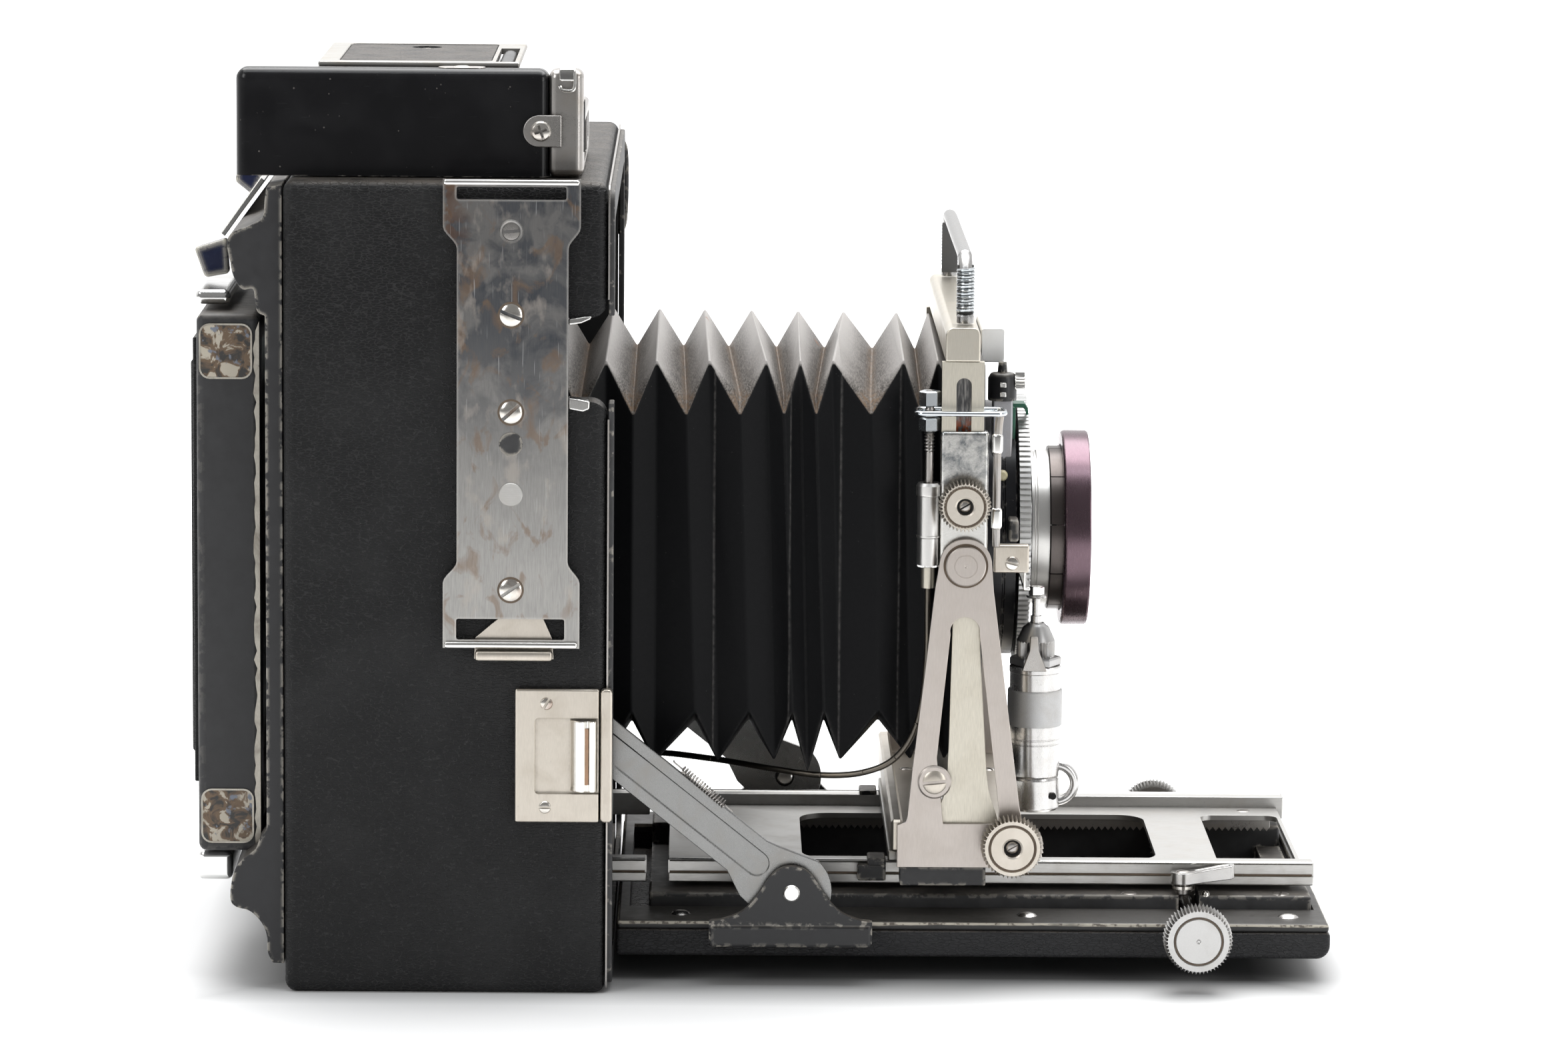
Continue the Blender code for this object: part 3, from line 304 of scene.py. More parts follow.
    def vary(self, socket, amount, low, high):
        """Let a shader value run from low to high with amount."""
        made = self.fit(amount, 0.0, 1.0, low, high)
        self.tree.links.new(made, self.shader.inputs[socket])
        return self

    def bump(self, height, depth, strength=1.0):
        """Raise the surface by height (0..1) times depth, in millimetres."""
        self.heights.append((height, depth, strength))
        return self

    def done(self):
        """Link the bumps in a row and hand over the material."""
        normal = None
        for height, depth, strength in self.heights:
            inputs = {"Height": height, "Distance": depth * MM, "Strength": strength}
            if normal is not None:
                inputs["Normal"] = normal
            normal = self.node("ShaderNodeBump", inputs).outputs[0]
        if normal is not None:
            self.tree.links.new(normal, self.shader.inputs["Normal"])
        return self.material


def toned(colour, factor, lift=0.0):
    """A darker or lighter tone of a colour."""
    return tuple(min(1.0, c * factor + lift) for c in colour)


def leather_look(name, grain=(2.6, 2.6, 0.95), base=0.0045):
    """Black leatherette: thin wavy lines in chains with painted highlights on their crests, a little dust.
    """
    look = Look(name, (base, base, base * 1.1), 0.42, Specular_IOR_Level=0.26)
    lines = look.cells(0.62, grain, warp=0.9)
    crest = look.fit(lines, 0.0, 0.10, 1.0, 0.0, "SMOOTHSTEP")
    pebbles = look.noise(0.45, 2, (1.6, 1.6, 1.0))
    patches = look.noise(22, 4)
    # painted highlight: the crests of the grain lines are painted lighter, as if catching light
    look.tint(look.both(crest, 0.6), (0.034, 0.034, 0.034))
    look.tint(look.fit(patches, 0.45, 0.75, 0.0, 0.5), (0.022, 0.022, 0.0225))
    dust = look.fit(look.noise(0.35, 1), 0.73, 0.76)
    dust = look.both(dust, look.fit(look.noise(9, 3), 0.5, 0.62))
    look.tint(look.both(dust, 0.5), (0.20, 0.20, 0.19))
    top = look.fit(look.facing("Z"), 0.6, 0.95)
    grime = look.both(top, look.fit(look.noise(6, 4), 0.3, 0.7, 0.15, 0.75))
    look.tint(grime, (0.115, 0.100, 0.085))
    look.vary("Roughness", look.noise(3, 4), 0.32, 0.55)
    look.bump(crest, 0.14, 0.9)
    look.bump(pebbles, 0.05, 0.5)
    return look.done()


def gloss_paint_look(name, colour=(0.004, 0.004, 0.0048)):
    """Smooth black paint with dust specks and fine scratches."""
    look = Look(name, colour, 0.24, Specular_IOR_Level=0.34)
    specks = look.fit(look.cells(2.3, feature="F1"), 0.10, 0.07)
    specks = look.both(specks, look.fit(look.noise(5, 3), 0.48, 0.6))
    look.tint(look.both(specks, 0.75), (0.14, 0.13, 0.12))
    haze = look.noise(14, 5, distortion=0.6)
    look.tint(look.fit(haze, 0.45, 0.8, 0.0, 0.15), (0.030, 0.030, 0.032))
    scratch = look.fit(look.noise(0.5, 2, (14, 1, 0.5)), 0.70, 0.74)
    look.tint(look.both(scratch, 0.25), (0.06, 0.06, 0.06))
    look.tint(look.both(look.edge(0.35), look.fit(look.noise(2.5, 4), 0.5, 0.62)),
              (0.30, 0.28, 0.25))
    look.vary("Roughness", haze, 0.18, 0.30)
    look.bump(look.noise(9, 2), 0.03, 0.3)
    return look.done()


def matt_paint_look(name, colour=(0.024, 0.024, 0.025), wear=0.5, roughness=0.5):
    """Dusty black paint; wear is how much bare metal shows on the edges."""
    look = Look(name, colour, roughness)
    mottle = look.noise(3.2, 5)
    look.tint(look.fit(mottle, 0.35, 0.75, 0.0, 0.6), toned(colour, 1.9, 0.004))
    dust = look.fit(look.facing("Z"), 0.3, 0.95)
    look.tint(look.both(dust, look.fit(look.noise(2.0, 5), 0.25, 0.7, 0.2, 0.7)),
              (0.125, 0.110, 0.092))
    rub = look.edge(1.3, 0.07)
    rub = look.both(rub, look.fit(look.noise(2.2, 4), 0.68 - 0.2 * wear, 0.75 - 0.2 * wear))
    look.tint(rub, (0.36, 0.335, 0.29))
    look.vary("Roughness", mottle, roughness - 0.12, roughness + 0.18)
    look.bump(look.noise(0.6, 3), 0.02, 0.15)
    return look.done()


def metal_look(name, colour, roughness, brushed=(1, 1, 1), streak=0.25, grime=0.3,
               stain=(0.30, 0.24, 0.17), **sockets):
    """Plated or bare metal; brushed stretches its fine lines along an axis."""
    look = Look(name, colour, roughness, 1.0, **sockets)
    fine = look.noise(0.16, 2, brushed)
    broad = look.noise(7, 5, distortion=0.5)
    look.tint(look.fit(fine, 0.3, 0.7, 0.0, streak), toned(colour, 0.62))
    look.tint(look.fit(broad, 0.48, 0.80, 0.0, grime), stain)
    spots = look.fit(look.cells(2.6, feature="F1"), 0.085, 0.05)
    spots = look.both(spots, look.fit(look.noise(4, 3), 0.50, 0.60))
    look.tint(look.both(spots, grime), toned(colour, 0.35))
    # grime and painted shade: crevices darkened by ambient occlusion, broken up by noise; grime scales the
    # stains and this shade
    grime_and_shade = look.both(look.crevice(1.2), look.fit(look.noise(1.1, 4), 0.3, 0.7, 0.2, 0.9))
    look.tint(look.both(grime_and_shade, min(1.0, grime * 2.2)), (0.055, 0.045, 0.033))
    mixed = look.math("ADD", look.both(fine, 0.5), look.both(broad, 0.5))
    look.vary("Roughness", mixed, max(0.03, roughness - 0.10), roughness + 0.14)
    look.bump(fine, 0.012, min(1.0, streak * 2))
    return look.done()


def strap_look():
    """Brushed steel, mottled dark blue at the top, lighter and warmer below."""
    look = Look("strap_steel", (0.215, 0.21, 0.205), 0.36, 1.0)
    fine = look.noise(0.14, 2, (1, 1, 22))
    height = look.along("Z")
    look.tint(look.fit(height, 158.0, 100.0, 0.0, 0.95), (0.46, 0.45, 0.43))
    cloud = look.noise(11, 7, (1, 1, 1.3), distortion=0.8)
    top = look.fit(height, 122.0, 160.0, 0.06, 0.95)
    look.tint(look.both(look.fit(cloud, 0.42, 0.56), top), (0.085, 0.090, 0.100))
    blue = look.fit(look.noise(6, 5, distortion=0.5), 0.50, 0.66)
    look.tint(look.both(blue, top, 0.7), (0.055, 0.062, 0.075))
    look.tint(look.fit(fine, 0.35, 0.7, 0.0, 0.30), (0.16, 0.155, 0.15))
    stain = look.fit(look.noise(6.5, 5, (1, 1, 1.5), distortion=1.0), 0.55, 0.64)
    look.tint(look.both(stain, 0.55), (0.235, 0.155, 0.10))
    corner = look.both(look.fit(look.along("X"), 7.0, 0.5), look.fit(height, 170.0, 178.0))
    corner = look.both(corner, look.fit(look.noise(2.4, 5), 0.42, 0.52))
    look.tint(look.both(corner, 0.6), (0.16, 0.085, 0.05))
    pale = look.fit(look.noise(5.0, 4, (1, 1, 2)), 0.58, 0.68)
    look.tint(look.both(pale, 0.45), (0.50, 0.45, 0.40))
    scratch = look.fit(look.noise(0.3, 1, (1, 1, 30)), 0.72, 0.76)
    look.tint(look.both(scratch, 0.35), (0.66, 0.66, 0.66))
    look.tint(look.both(look.edge(0.9, 0.07), 0.7), (0.62, 0.60, 0.57))
    look.vary("Roughness", cloud, 0.28, 0.50)
    look.bump(fine, 0.012, 0.5)
    return look.done()


def sleeve_look():
    """Chrome with a dark blotchy tarnish cloud across its middle."""
    look = Look("tarnished_sleeve", (0.74, 0.73, 0.70), 0.22, 1.0)
    cloud = look.noise(4.5, 7, roughness=0.72, distortion=0.4)
    around = look.fit(look.along("Z"), 104.0, 126.0, 0.0, 1.0, "SMOOTHSTEP")
    dark = look.both(look.fit(cloud, 0.42, 0.62), around)
    look.tint(look.both(dark, 0.85), (0.10, 0.12, 0.14))
    look.tint(look.fit(look.noise(0.5, 3), 0.60, 0.75, 0.0, 0.5), (0.55, 0.52, 0.45))
    # painted shade: the hollows darkened by ambient occlusion
    look.tint(look.both(look.crevice(1.0), 0.7), (0.05, 0.04, 0.03))
    look.vary("Roughness", cloud, 0.12, 0.34)
    look.bump(look.noise(0.4, 3), 0.01, 0.5)
    return look.done()


def slot_shade_look():
    """The dark streaked floor of the post's slot, rusty at its foot; its darkness is painted shade."""
    look = Look("slot_shade", (0.085, 0.085, 0.088), 0.45, 0.8)
    streaks = look.noise(0.5, 3, (1, 1, 8))
    look.tint(look.fit(streaks, 0.4, 0.65), (0.30, 0.29, 0.28))
    rust = look.both(look.fit(look.along("Z"), 134.0, 131.0),
                     look.fit(look.noise(0.9, 3), 0.42, 0.52))
    look.tint(look.both(rust, 0.85), (0.33, 0.075, 0.02))
    look.vary("Roughness", streaks, 0.35, 0.6)
    look.bump(streaks, 0.03, 0.5)
    return look.done()


def rim_look():
    """Black rim, its upper edge rubbed in long patches to cream and bare metal."""
    look = Look("worn_rim", (0.018, 0.018, 0.018), 0.45)
    ragged = look.math("ADD", look.along("Z"), look.noise(5.5, 5, (2.6, 1, 1), distortion=0.4))
    band = look.both(look.fit(ragged, 13.62, 13.80), look.fit(look.facing("Z"), 0.92, 0.75))
    gone = look.fit(look.noise(14, 3, (1.5, 1, 1)), 0.34, 0.42)
    look.tint(look.both(band, gone), (0.40, 0.37, 0.31))
    look.tint(look.both(band, look.fit(look.noise(1.8, 5), 0.52, 0.60)), (0.10, 0.085, 0.07))
    # painted sheen: upward faces painted lighter, as if catching light
    look.tint(look.fit(look.facing("Z"), 0.6, 0.95, 0.0, 0.5), (0.05, 0.045, 0.038))
    look.vary("Roughness", look.noise(2.5, 4), 0.34, 0.6)
    look.bump(ragged, 0.04, 0.4)
    return look.done()


def worn_pad_look():
    """A pad rubbed through from black to brown, cream and bluish grey."""
    look = Look("worn_pad", (0.030, 0.028, 0.026), 0.5)
    patches = look.noise(3.6, 5, distortion=0.8)
    look.tint(look.fit(patches, 0.42, 0.50), (0.13, 0.085, 0.05))
    look.tint(look.fit(patches, 0.54, 0.58), (0.42, 0.38, 0.31))
    look.tint(look.fit(look.noise(2.4, 4), 0.60, 0.66), (0.16, 0.18, 0.22))
    look.vary("Roughness", patches, 0.35, 0.6)
    look.bump(patches, 0.08, 0.6)
    return look.done()


def navy_look():
    """Dark blue gloss enamel, worn to bright metal and cream on its edges."""
    look = Look("navy_enamel", (0.008, 0.012, 0.040), 0.16, Specular_IOR_Level=0.55)
    look.tint(look.fit(look.noise(2.0, 4), 0.52, 0.75, 0.0, 0.5), (0.02, 0.03, 0.07))
    look.tint(look.both(look.edge(1.8, 0.05), look.fit(look.noise(1.4, 4), 0.30, 0.45)),
              (0.56, 0.53, 0.45))
    look.vary("Roughness", look.noise(3, 3), 0.10, 0.28)
    look.bump(look.noise(4, 2), 0.03, 0.3)
    return look.done()


def bellows_look():
    """Black cloth, rubbed and dusty on top, with a painted highlight along its top ridges, darkest on its
    sides.
    """
    look = Look("bellows_cloth", (0.0040, 0.0042, 0.0048), 0.46, Specular_IOR_Level=0.10)
    top = look.fit(look.facing("Z"), 0.18, 0.42)
    fibres = look.noise(0.35, 4, (1, 9, 1), distortion=0.3)
    patches = look.noise(5.5, 5, (1, 2, 1), distortion=0.6)
    look.tint(look.both(top, look.fit(patches, 0.25, 0.72, 0.4, 1.0)), (0.090, 0.081, 0.074))
    look.tint(look.both(top, look.fit(fibres, 0.42, 0.60, 0.0, 0.85)), (0.21, 0.195, 0.18))
    # painted highlight: the top ridges painted lighter, as if catching the overhead light
    ridge = look.fit(look.along("Z"), 139.5, 146.2, 0.0, 1.0, "SMOOTHSTEP")
    look.tint(look.both(top, ridge, 0.75), (0.42, 0.40, 0.385))
    edge = look.edge(0.9, 0.25)
    worn = look.both(edge, look.fit(look.noise(1.2, 4), 0.30, 0.62, 0.15, 0.8))
    look.tint(look.both(worn, 0.45), (0.22, 0.21, 0.20))
    valley = look.both(top, look.fit(look.along("Z"), 139.2, 137.4))
    look.tint(look.both(valley, look.fit(look.noise(1.4, 4), 0.4, 0.6, 0.1, 0.8)),
              (0.17, 0.115, 0.075))
    rust = look.fit(look.cells(21, (1, 1.6, 1), feature="F1"), 0.075, 0.045)
    look.tint(look.both(rust, top, 0.8), (0.24, 0.10, 0.04))
    specks = look.fit(look.cells(1.6, feature="F1"), 0.06, 0.035)
    look.tint(look.both(specks, look.fit(look.noise(8, 3), 0.5, 0.6), 0.4), (0.15, 0.15, 0.14))
    look.vary("Roughness", fibres, 0.34, 0.62)
    look.bump(look.noise(0.28, 3, (1, 5, 1)), 0.035, 0.5)
    look.bump(look.noise(7.0, 2), 0.35, 0.35)
    return look.done()


def glass_look(name, colour, roughness):
    """Coated glass over a dark inside, with a faint smear."""
    look = Look(name, colour, roughness, Specular_IOR_Level=0.9, Coat_Weight=0.6, Coat_Roughness=0.03)
    smear = look.noise(6, 4, distortion=0.6)
    look.tint(look.fit(smear, 0.5, 0.8, 0.0, 0.35), toned(colour, 1.6, 0.012))
    look.vary("Roughness", smear, roughness, roughness + 0.08)
    look.bump(look.noise(12, 2), 0.02, 0.2)
    return look.done()


def plastic_look(name, colour, roughness):
    """Old enamel or plastic, chipped and yellowed along its edges."""
    look = Look(name, colour, roughness)
    look.tint(look.fit(look.noise(1.2, 4), 0.45, 0.7, 0.0, 0.5), toned(colour, 0.62))
    look.tint(look.both(look.edge(0.3), 0.35), toned(colour, 1.7, 0.05))
    look.vary("Roughness", look.noise(2, 3), roughness - 0.1, roughness + 0.15)
    look.bump(look.noise(0.8, 3), 0.02, 0.4)
    return look.done()


# ---- shapes -------------------------------------------------------------
def object_of(name, bm):
    """A mesh object, in metres, from a bmesh in millimetres."""
    mesh = bpy.data.meshes.new(name)
    bm.normal_update()
    bmesh.ops.recalc_face_normals(bm, faces=bm.faces)
    bm.transform(Matrix.Scale(MM, 4))
    bm.to_mesh(mesh)
    bm.free()
    return linked(name, mesh)


def settle(piece):
    """Apply the piece's modifiers and place, weld its close points and clear degenerate geometry."""
    bpy.context.view_layer.update()
    deps = bpy.context.evaluated_depsgraph_get()
    mesh = bpy.data.meshes.new_from_object(piece.evaluated_get(deps))
    mesh.transform(piece.matrix_world)
    bm = bmesh.new()
    bm.from_mesh(mesh)
    bmesh.ops.remove_doubles(bm, verts=bm.verts, dist=WELD * MM)
    bmesh.ops.dissolve_degenerate(bm, edges=bm.edges, dist=1e-6)
    bmesh.ops.recalc_face_normals(bm, faces=bm.faces)
    bm.to_mesh(mesh)
    bm.free()
    name = piece.name
    bpy.data.objects.remove(piece, do_unlink=True)
    return linked(name, mesh)


def rounded(piece, width, segments=2, angle=30.0):
    """Round the piece's sharp edges."""
    if width:
        bevel = piece.modifiers.new("rounded edges", "BEVEL")
        bevel.width = width * MM
        bevel.segments = segments
        bevel.limit_method = "ANGLE"
        bevel.angle_limit = math.radians(angle)
        bevel.miter_outer = "MITER_ARC"
        bevel.harden_normals = True
    return piece


def box(name, low, high, bevel=0.0, segments=2):
    """A block between its lowest and highest corners."""
    bm = bmesh.new()
    bmesh.ops.create_cube(bm, size=1.0)
    size = Vector(high) - Vector(low)
    bmesh.ops.scale(bm, vec=size, verts=bm.verts)
    bmesh.ops.translate(bm, vec=Vector(low) + size / 2, verts=bm.verts)
    piece = object_of(name, bm)
    return settle(rounded(piece, bevel, segments)) if bevel else piece


def y_span(side, first, second):
    """The Y stretch between two distances from the middle, lowest first."""
    return sorted((side * first, side * second))


def side_box(name, side, xs, ys, zs, bevel=0.0, segments=2):
    """A block on one side of the camera, its ys counted from the middle."""
    low, high = y_span(side, *ys)
    return box(name, (xs[0], low, zs[0]), (xs[1], high, zs[1]), bevel, segments)


AXES = {"up": Matrix.Identity(4), "near": Matrix.Rotation(math.pi / 2, 4, "X"),
        "far": Matrix.Rotation(-math.pi / 2, 4, "X"), "front": Matrix.Rotation(math.pi / 2, 4, "Y"),
        "back": Matrix.Rotation(-math.pi / 2, 4, "Y")}


def turned(name, profile, at, axis="up", sides=64, teeth=0, depth=0.0):
    """A (radius, height) profile turned about an axis through at.

    Points with a third value of 1 carry the teeth, waves of the given depth.
    """
    bm = bmesh.new()
    sides = max(sides, teeth * 4)
    turns = [2 * math.pi * k / sides for k in range(sides)]
    rings = []
    for radius, height, *toothed in profile:
        if radius < 1e-6:
            rings.append([bm.verts.new((0, 0, height))] * sides)
            continue
        wave = depth / 2 if toothed else 0.0
        reach = [radius - wave * (1 - math.cos(teeth * t)) for t in turns]
        rings.append([bm.verts.new((r * math.cos(t), r * math.sin(t), height))
                      for r, t in zip(reach, turns)])
    if profile[0][0] > 1e-6 and profile[-1][0] > 1e-6:
        rings.append(rings[0])
    for low, high in zip(rings, rings[1:]):
        for k in range(sides):
            corners = [low[k], low[(k + 1) % sides], high[(k + 1) % sides], high[k]]
            corners = list(dict.fromkeys(corners))
            if len(corners) > 2:
                bm.faces.new(corners)
    bm.transform(Matrix.Translation(Vector(at)) @ AXES[axis])
    return object_of(name, bm)


def cog_line(radius, depth, teeth, middle):
    """The outline of a ring edge with square-cut teeth."""
    line = []
    for k in range(teeth):
        for share, reach in ((-0.28, radius), (0.28, radius), (0.36, radius - depth),
                             (0.64, radius - depth)):
            angle = 2 * math.pi * (k + share) / teeth
            line.append((middle[0] + reach * math.cos(angle), middle[1] + reach * math.sin(angle)))
    return line


def moved(piece, at=(0, 0, 0), turn=0.0, axis="Y", about=(0, 0, 0)):
    """Turn the piece's mesh by turn degrees about an axis, then shift it by at."""
    spin = (Matrix.Translation(Vector(about)) @ Matrix.Rotation(math.radians(turn), 4, axis)
            @ Matrix.Translation(-Vector(about)))
    change = Matrix.Translation(Vector(at)) @ spin
    piece.data.transform(Matrix.Scale(MM, 4) @ change @ Matrix.Scale(1 / MM, 4))
    return piece


def cylinder(name, at, radius, length, axis="up", sides=40, bevel=0.0):
    """A rod centred on at, with its rims chamfered by bevel."""
    half = length / 2
    profile = [(0, -half), (radius - bevel, -half), (radius, bevel - half),
               (radius, half - bevel), (radius - bevel, half), (0, half)]
    if not bevel:
        profile = [(0, -half), (radius, -half), (radius, half), (0, half)]
    return turned(name, profile, at, axis, sides)


def arc(cx, cy, radius, start, stop, count=8):
    """Points on a circle, from the start to the stop angle in degrees."""
    step = (stop - start) / count
    return [(cx + radius * math.cos(math.radians(start + i * step)),
             cy + radius * math.sin(math.radians(start + i * step))) for i in range(count + 1)]


def rounded_rectangle(x0, x1, y0, y1, radius, count=6):
    """The outline of a rectangle with round corners."""
    return (arc(x1 - radius, y1 - radius, radius, 0, 90, count)
            + arc(x0 + radius, y1 - radius, radius, 90, 180, count)
            + arc(x0 + radius, y0 + radius, radius, 180, 270, count)
            + arc(x1 - radius, y0 + radius, radius, 270, 360, count))


def poly_curve(name, lines, closed, dimensions="3D"):
    """A curve with straight stretches through the points of each line."""
    curve = bpy.data.curves.new(name, "CURVE")
    curve.dimensions = dimensions
    for line in lines:
        spline = curve.splines.new("POLY")
        spline.points.add(len(line) - 1)
        for point, at in zip(spline.points, line):
            point.co = (*(value * MM for value in at), *(0, 1)[len(at) - 2:])
        spline.use_cyclic_u = closed
    return curve


def helix(start, stop, first, second, turns, steps):
    """A coil from start to stop; first and second are its half widths as vectors."""
    count = turns * steps
    start, stop, first, second = (Vector(v) for v in (start, stop, first, second))
    return [start.lerp(stop, i / count) + first * math.cos(2 * math.pi * i / steps)
            + second * math.sin(2 * math.pi * i / steps) for i in range(count + 1)]


PLANES = {"XY": (0, 0, 0), "XZ": (math.pi / 2, 0, 0), "YZ": (math.pi / 2, 0, math.pi / 2)}


def plate(name, outlines, plane, low, high):
    """A flat outline, with any holes after it, as thick as from low to high."""
    curve = poly_curve(name, outlines, True, "2D")
    curve.fill_mode = "BOTH"
    curve.extrude = (high - low) / 2 * MM
    piece = linked(name, curve)
    piece.rotation_euler = PLANES[plane]
    middle = (low + high) / 2 * MM
    piece.location = {"XY": (0, 0, middle), "XZ": (0, middle, 0), "YZ": (middle, 0, 0)}[plane]
    return flattened(settle(piece))


def flattened(piece):
    """Join the triangles of each flat face into one."""
    bm = bmesh.new()
    bm.from_mesh(piece.data)
    bmesh.ops.dissolve_limit(bm, angle_limit=math.radians(0.6), verts=bm.verts, edges=bm.edges)
    bm.to_mesh(piece.data)
    bm.free()
    return piece


def wire(name, points, radius, closed=False, resolution=3):
    """A round wire along the points."""
    curve = poly_curve(name, [points], closed)
    curve.bevel_depth = radius * MM
    curve.bevel_resolution = resolution
    curve.use_fill_caps = not closed
    return settle(linked(name, curve))


def smooth_route(points, count):
    """A smooth curve through the points, read at an even count."""
    ends = [points[0], *points, points[-1]]
    spans = len(points) - 1
    route = []
    for i in range(count + 1):
        along = i / count * spans
        k = min(int(along), spans - 1)
        t = along - k
        p0, p1, p2, p3 = (Vector(p) for p in ends[k:k + 4])
        route.append(0.5 * (2 * p1 + (p2 - p0) * t + (2 * p0 - 5 * p1 + 4 * p2 - p3) * t * t
                            + (3 * p1 - p0 - 3 * p2 + p3) * t ** 3))
    return route


def combined(piece, others, operation):
    """Cut the others from the piece, or join them to it, one after another."""
    for other in others:
        step = piece.modifiers.new(operation, "BOOLEAN")
        step.operation = operation
        step.object = other
        piece = settle(piece)
        bpy.data.objects.remove(other, do_unlink=True)
    return piece


def cut(piece, *others):
    """The piece without the others."""
    return combined(piece, others, "DIFFERENCE")


def join(piece, *others):
    """The piece and the others as one."""
    return combined(piece, others, "UNION")


# ---- putting pieces in place --------------------------------------------
def place(piece, look, host, replace=False, bevel=0.0, segments=2, smooth=32.0):
    """Give the piece its look, and let it ride with its host node's body."""
    rounded(piece, bevel, segments)
    piece.data.materials.clear()
    piece.data.materials.append(look)
    piece.data.shade_smooth()
    piece.data.set_sharp_from_angle(angle=math.radians(smooth))
    even = piece.modifiers.new("even shading", "WEIGHTED_NORMAL")
    even.keep_sharp = True
    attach(piece, BODY_OF[host])
    if replace:
        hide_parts(host)
    return piece


def refined(node, look, bevel=0.25, segments=2):
    """A copy of a CAD node with clean faces and rounded edges."""
    bm = bmesh.new()
    bm.from_mesh(frame["nodes"][node].data)
    bmesh.ops.remove_doubles(bm, verts=bm.verts, dist=WELD * MM)
    bmesh.ops.dissolve_limit(bm, angle_limit=math.radians(0.6), verts=bm.verts, edges=bm.edges)
    mesh = bpy.data.meshes.new(node + "_shape")
    bm.to_mesh(mesh)
    bm.free()
    piece = linked(node + "_shape", mesh)
    return place(piece, look, node, replace=True, bevel=bevel, segments=segments)


def screw(name, at, radius, turn, host, axis="near", look=None, rise=0.45, slot=0.55, cross=False):
    """A domed screw head facing along axis, its slot turned by turn degrees."""
    head = turned(name, [(0, rise), (radius * 0.5, rise * 0.93), (radius * 0.84, rise * 0.6),
                         (radius, 0.0), (radius, -0.6), (0, -0.6)], (0, 0, 0), "up", 40)
    for extra in (0, 90) if cross else (0,):
        reach = radius * (0.62 if cross else 1.3)
        blade = box("blade", (-reach, -slot / 2, rise * 0.1 - 0.25), (reach, slot / 2, rise + 1))
        head = cut(head, moved(blade, turn=turn + extra, axis="Z"))
    head.data.transform(Matrix.Translation(Vector(at) * MM) @ AXES[axis])
    return place(head, look or STEEL, host, bevel=0.06, segments=1)


def ring(name, at, inner, outer, low, high, look, host, axis="near", sides=56):
    """A flat ring, or a disc when inner is 0, between two heights along axis."""
    return place(turned(name, [(inner, low), (outer, low), (outer, high), (inner, high)], at,
                        axis, sides), look, host)


def span(node):
    """The node's lowest and highest corners, in millimetres."""
    low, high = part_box(node)
    return low / MM, high / MM


# ---- body ---------------------------------------------------------------
def body_casing():
    """The leather covered casing with its black inside and the strut studs."""
    (x0, y0, z0), (x1, y1, z1) = span("body_shell")
    shell = box("body_casing", (x0, y0, z0), (x1, y1, z1), 2.6, 6)
    mouth = ([(27.8, 159.8), (27.8, 140.2), (33.0, 140.2)] + arc(33.0, 136.2, 4.0, 90, 0)
             + [(x1 + 5, 136.2), (x1 + 5, 163.8)] + arc(33.0, 163.8, 4.0, 0, -90))
    shell = cut(shell, box("bay", (-28, -75, 9), (x1 + 10, 75, 181)),
                box("back_bay", (x0 - 10, -72, 20), (-31, 72, 172)),
                box("window", (x0, -57, 44), (0, 57, 154)),
                plate("side_slot", [mouth], "XZ", y0 - 5, -70))
    place(shell, LEATHER, "body_shell", replace=True)
    shell.data.materials.append(BLACK_AND_SHADE)
    for face in shell.data.polygons:
        middle = face.center / MM
        if abs(middle.y) < 75.5 and 8.5 < middle.z < 181.5:
            face.material_index = 1
    for side, word in SIDES:
        at = (BRACE_STUD[0], side * STRUT_REACH, BRACE_STUD[1])
        stud = cylinder("strut_stud_" + word, at, 2.0, 5.4, "near", 32, 0.3)
        place(stud, STEEL, "body_shell")
    for word, line in (("top", [(28.0, 158.2), (31.0, 158.6), (33.2, 159.6), (33.4, 160.3), (31.6, 160.2),
                                (28.0, 159.6)]),
                       ("bottom", [(28.0, 138.6), (31.4, 138.0), (32.9, 138.6), (33.0, 140.4),
                                   (30.0, 141.0), (28.0, 141.3)])):
        place(plate("slot_lip_" + word, [line], "XZ", -85.2, -81.0), BRIGHT, "body_shell", bevel=0.4,
              segments=3)
    edge_line = rounded_rectangle(-83.4, 83.4, 0.8, 190.4, 2.6)
    inner_line = rounded_rectangle(-82.6, 82.6, 1.6, 189.6, 2.2)
    trim = plate("front_edge_line", [edge_line, inner_line], "YZ", 37.1, 37.5)
    gap = box("line_gap", (30, -90, 136.0), (50, -70, 164.0))
    place(cut(trim, gap), STEEL, "front_trim", bevel=0.12)
    loop = smooth_route([(37.0, 80.6, 187.5), (38.6, 80.6, 184.0), (38.9, 80.6, 176.0),
                         (38.7, 80.6, 168.0), (38.2, 80.6, 164.2), (36.9, 80.6, 162.4)], 40)
    place(wire("far_handle_loop", loop, 0.75), WORN_BLACK, "body_shell")
    place(box("far_handle_strip", (36.6, 79.0, 163.6), (38.1, 82.0, 188.4), 0.4), BRIGHT, "body_shell")


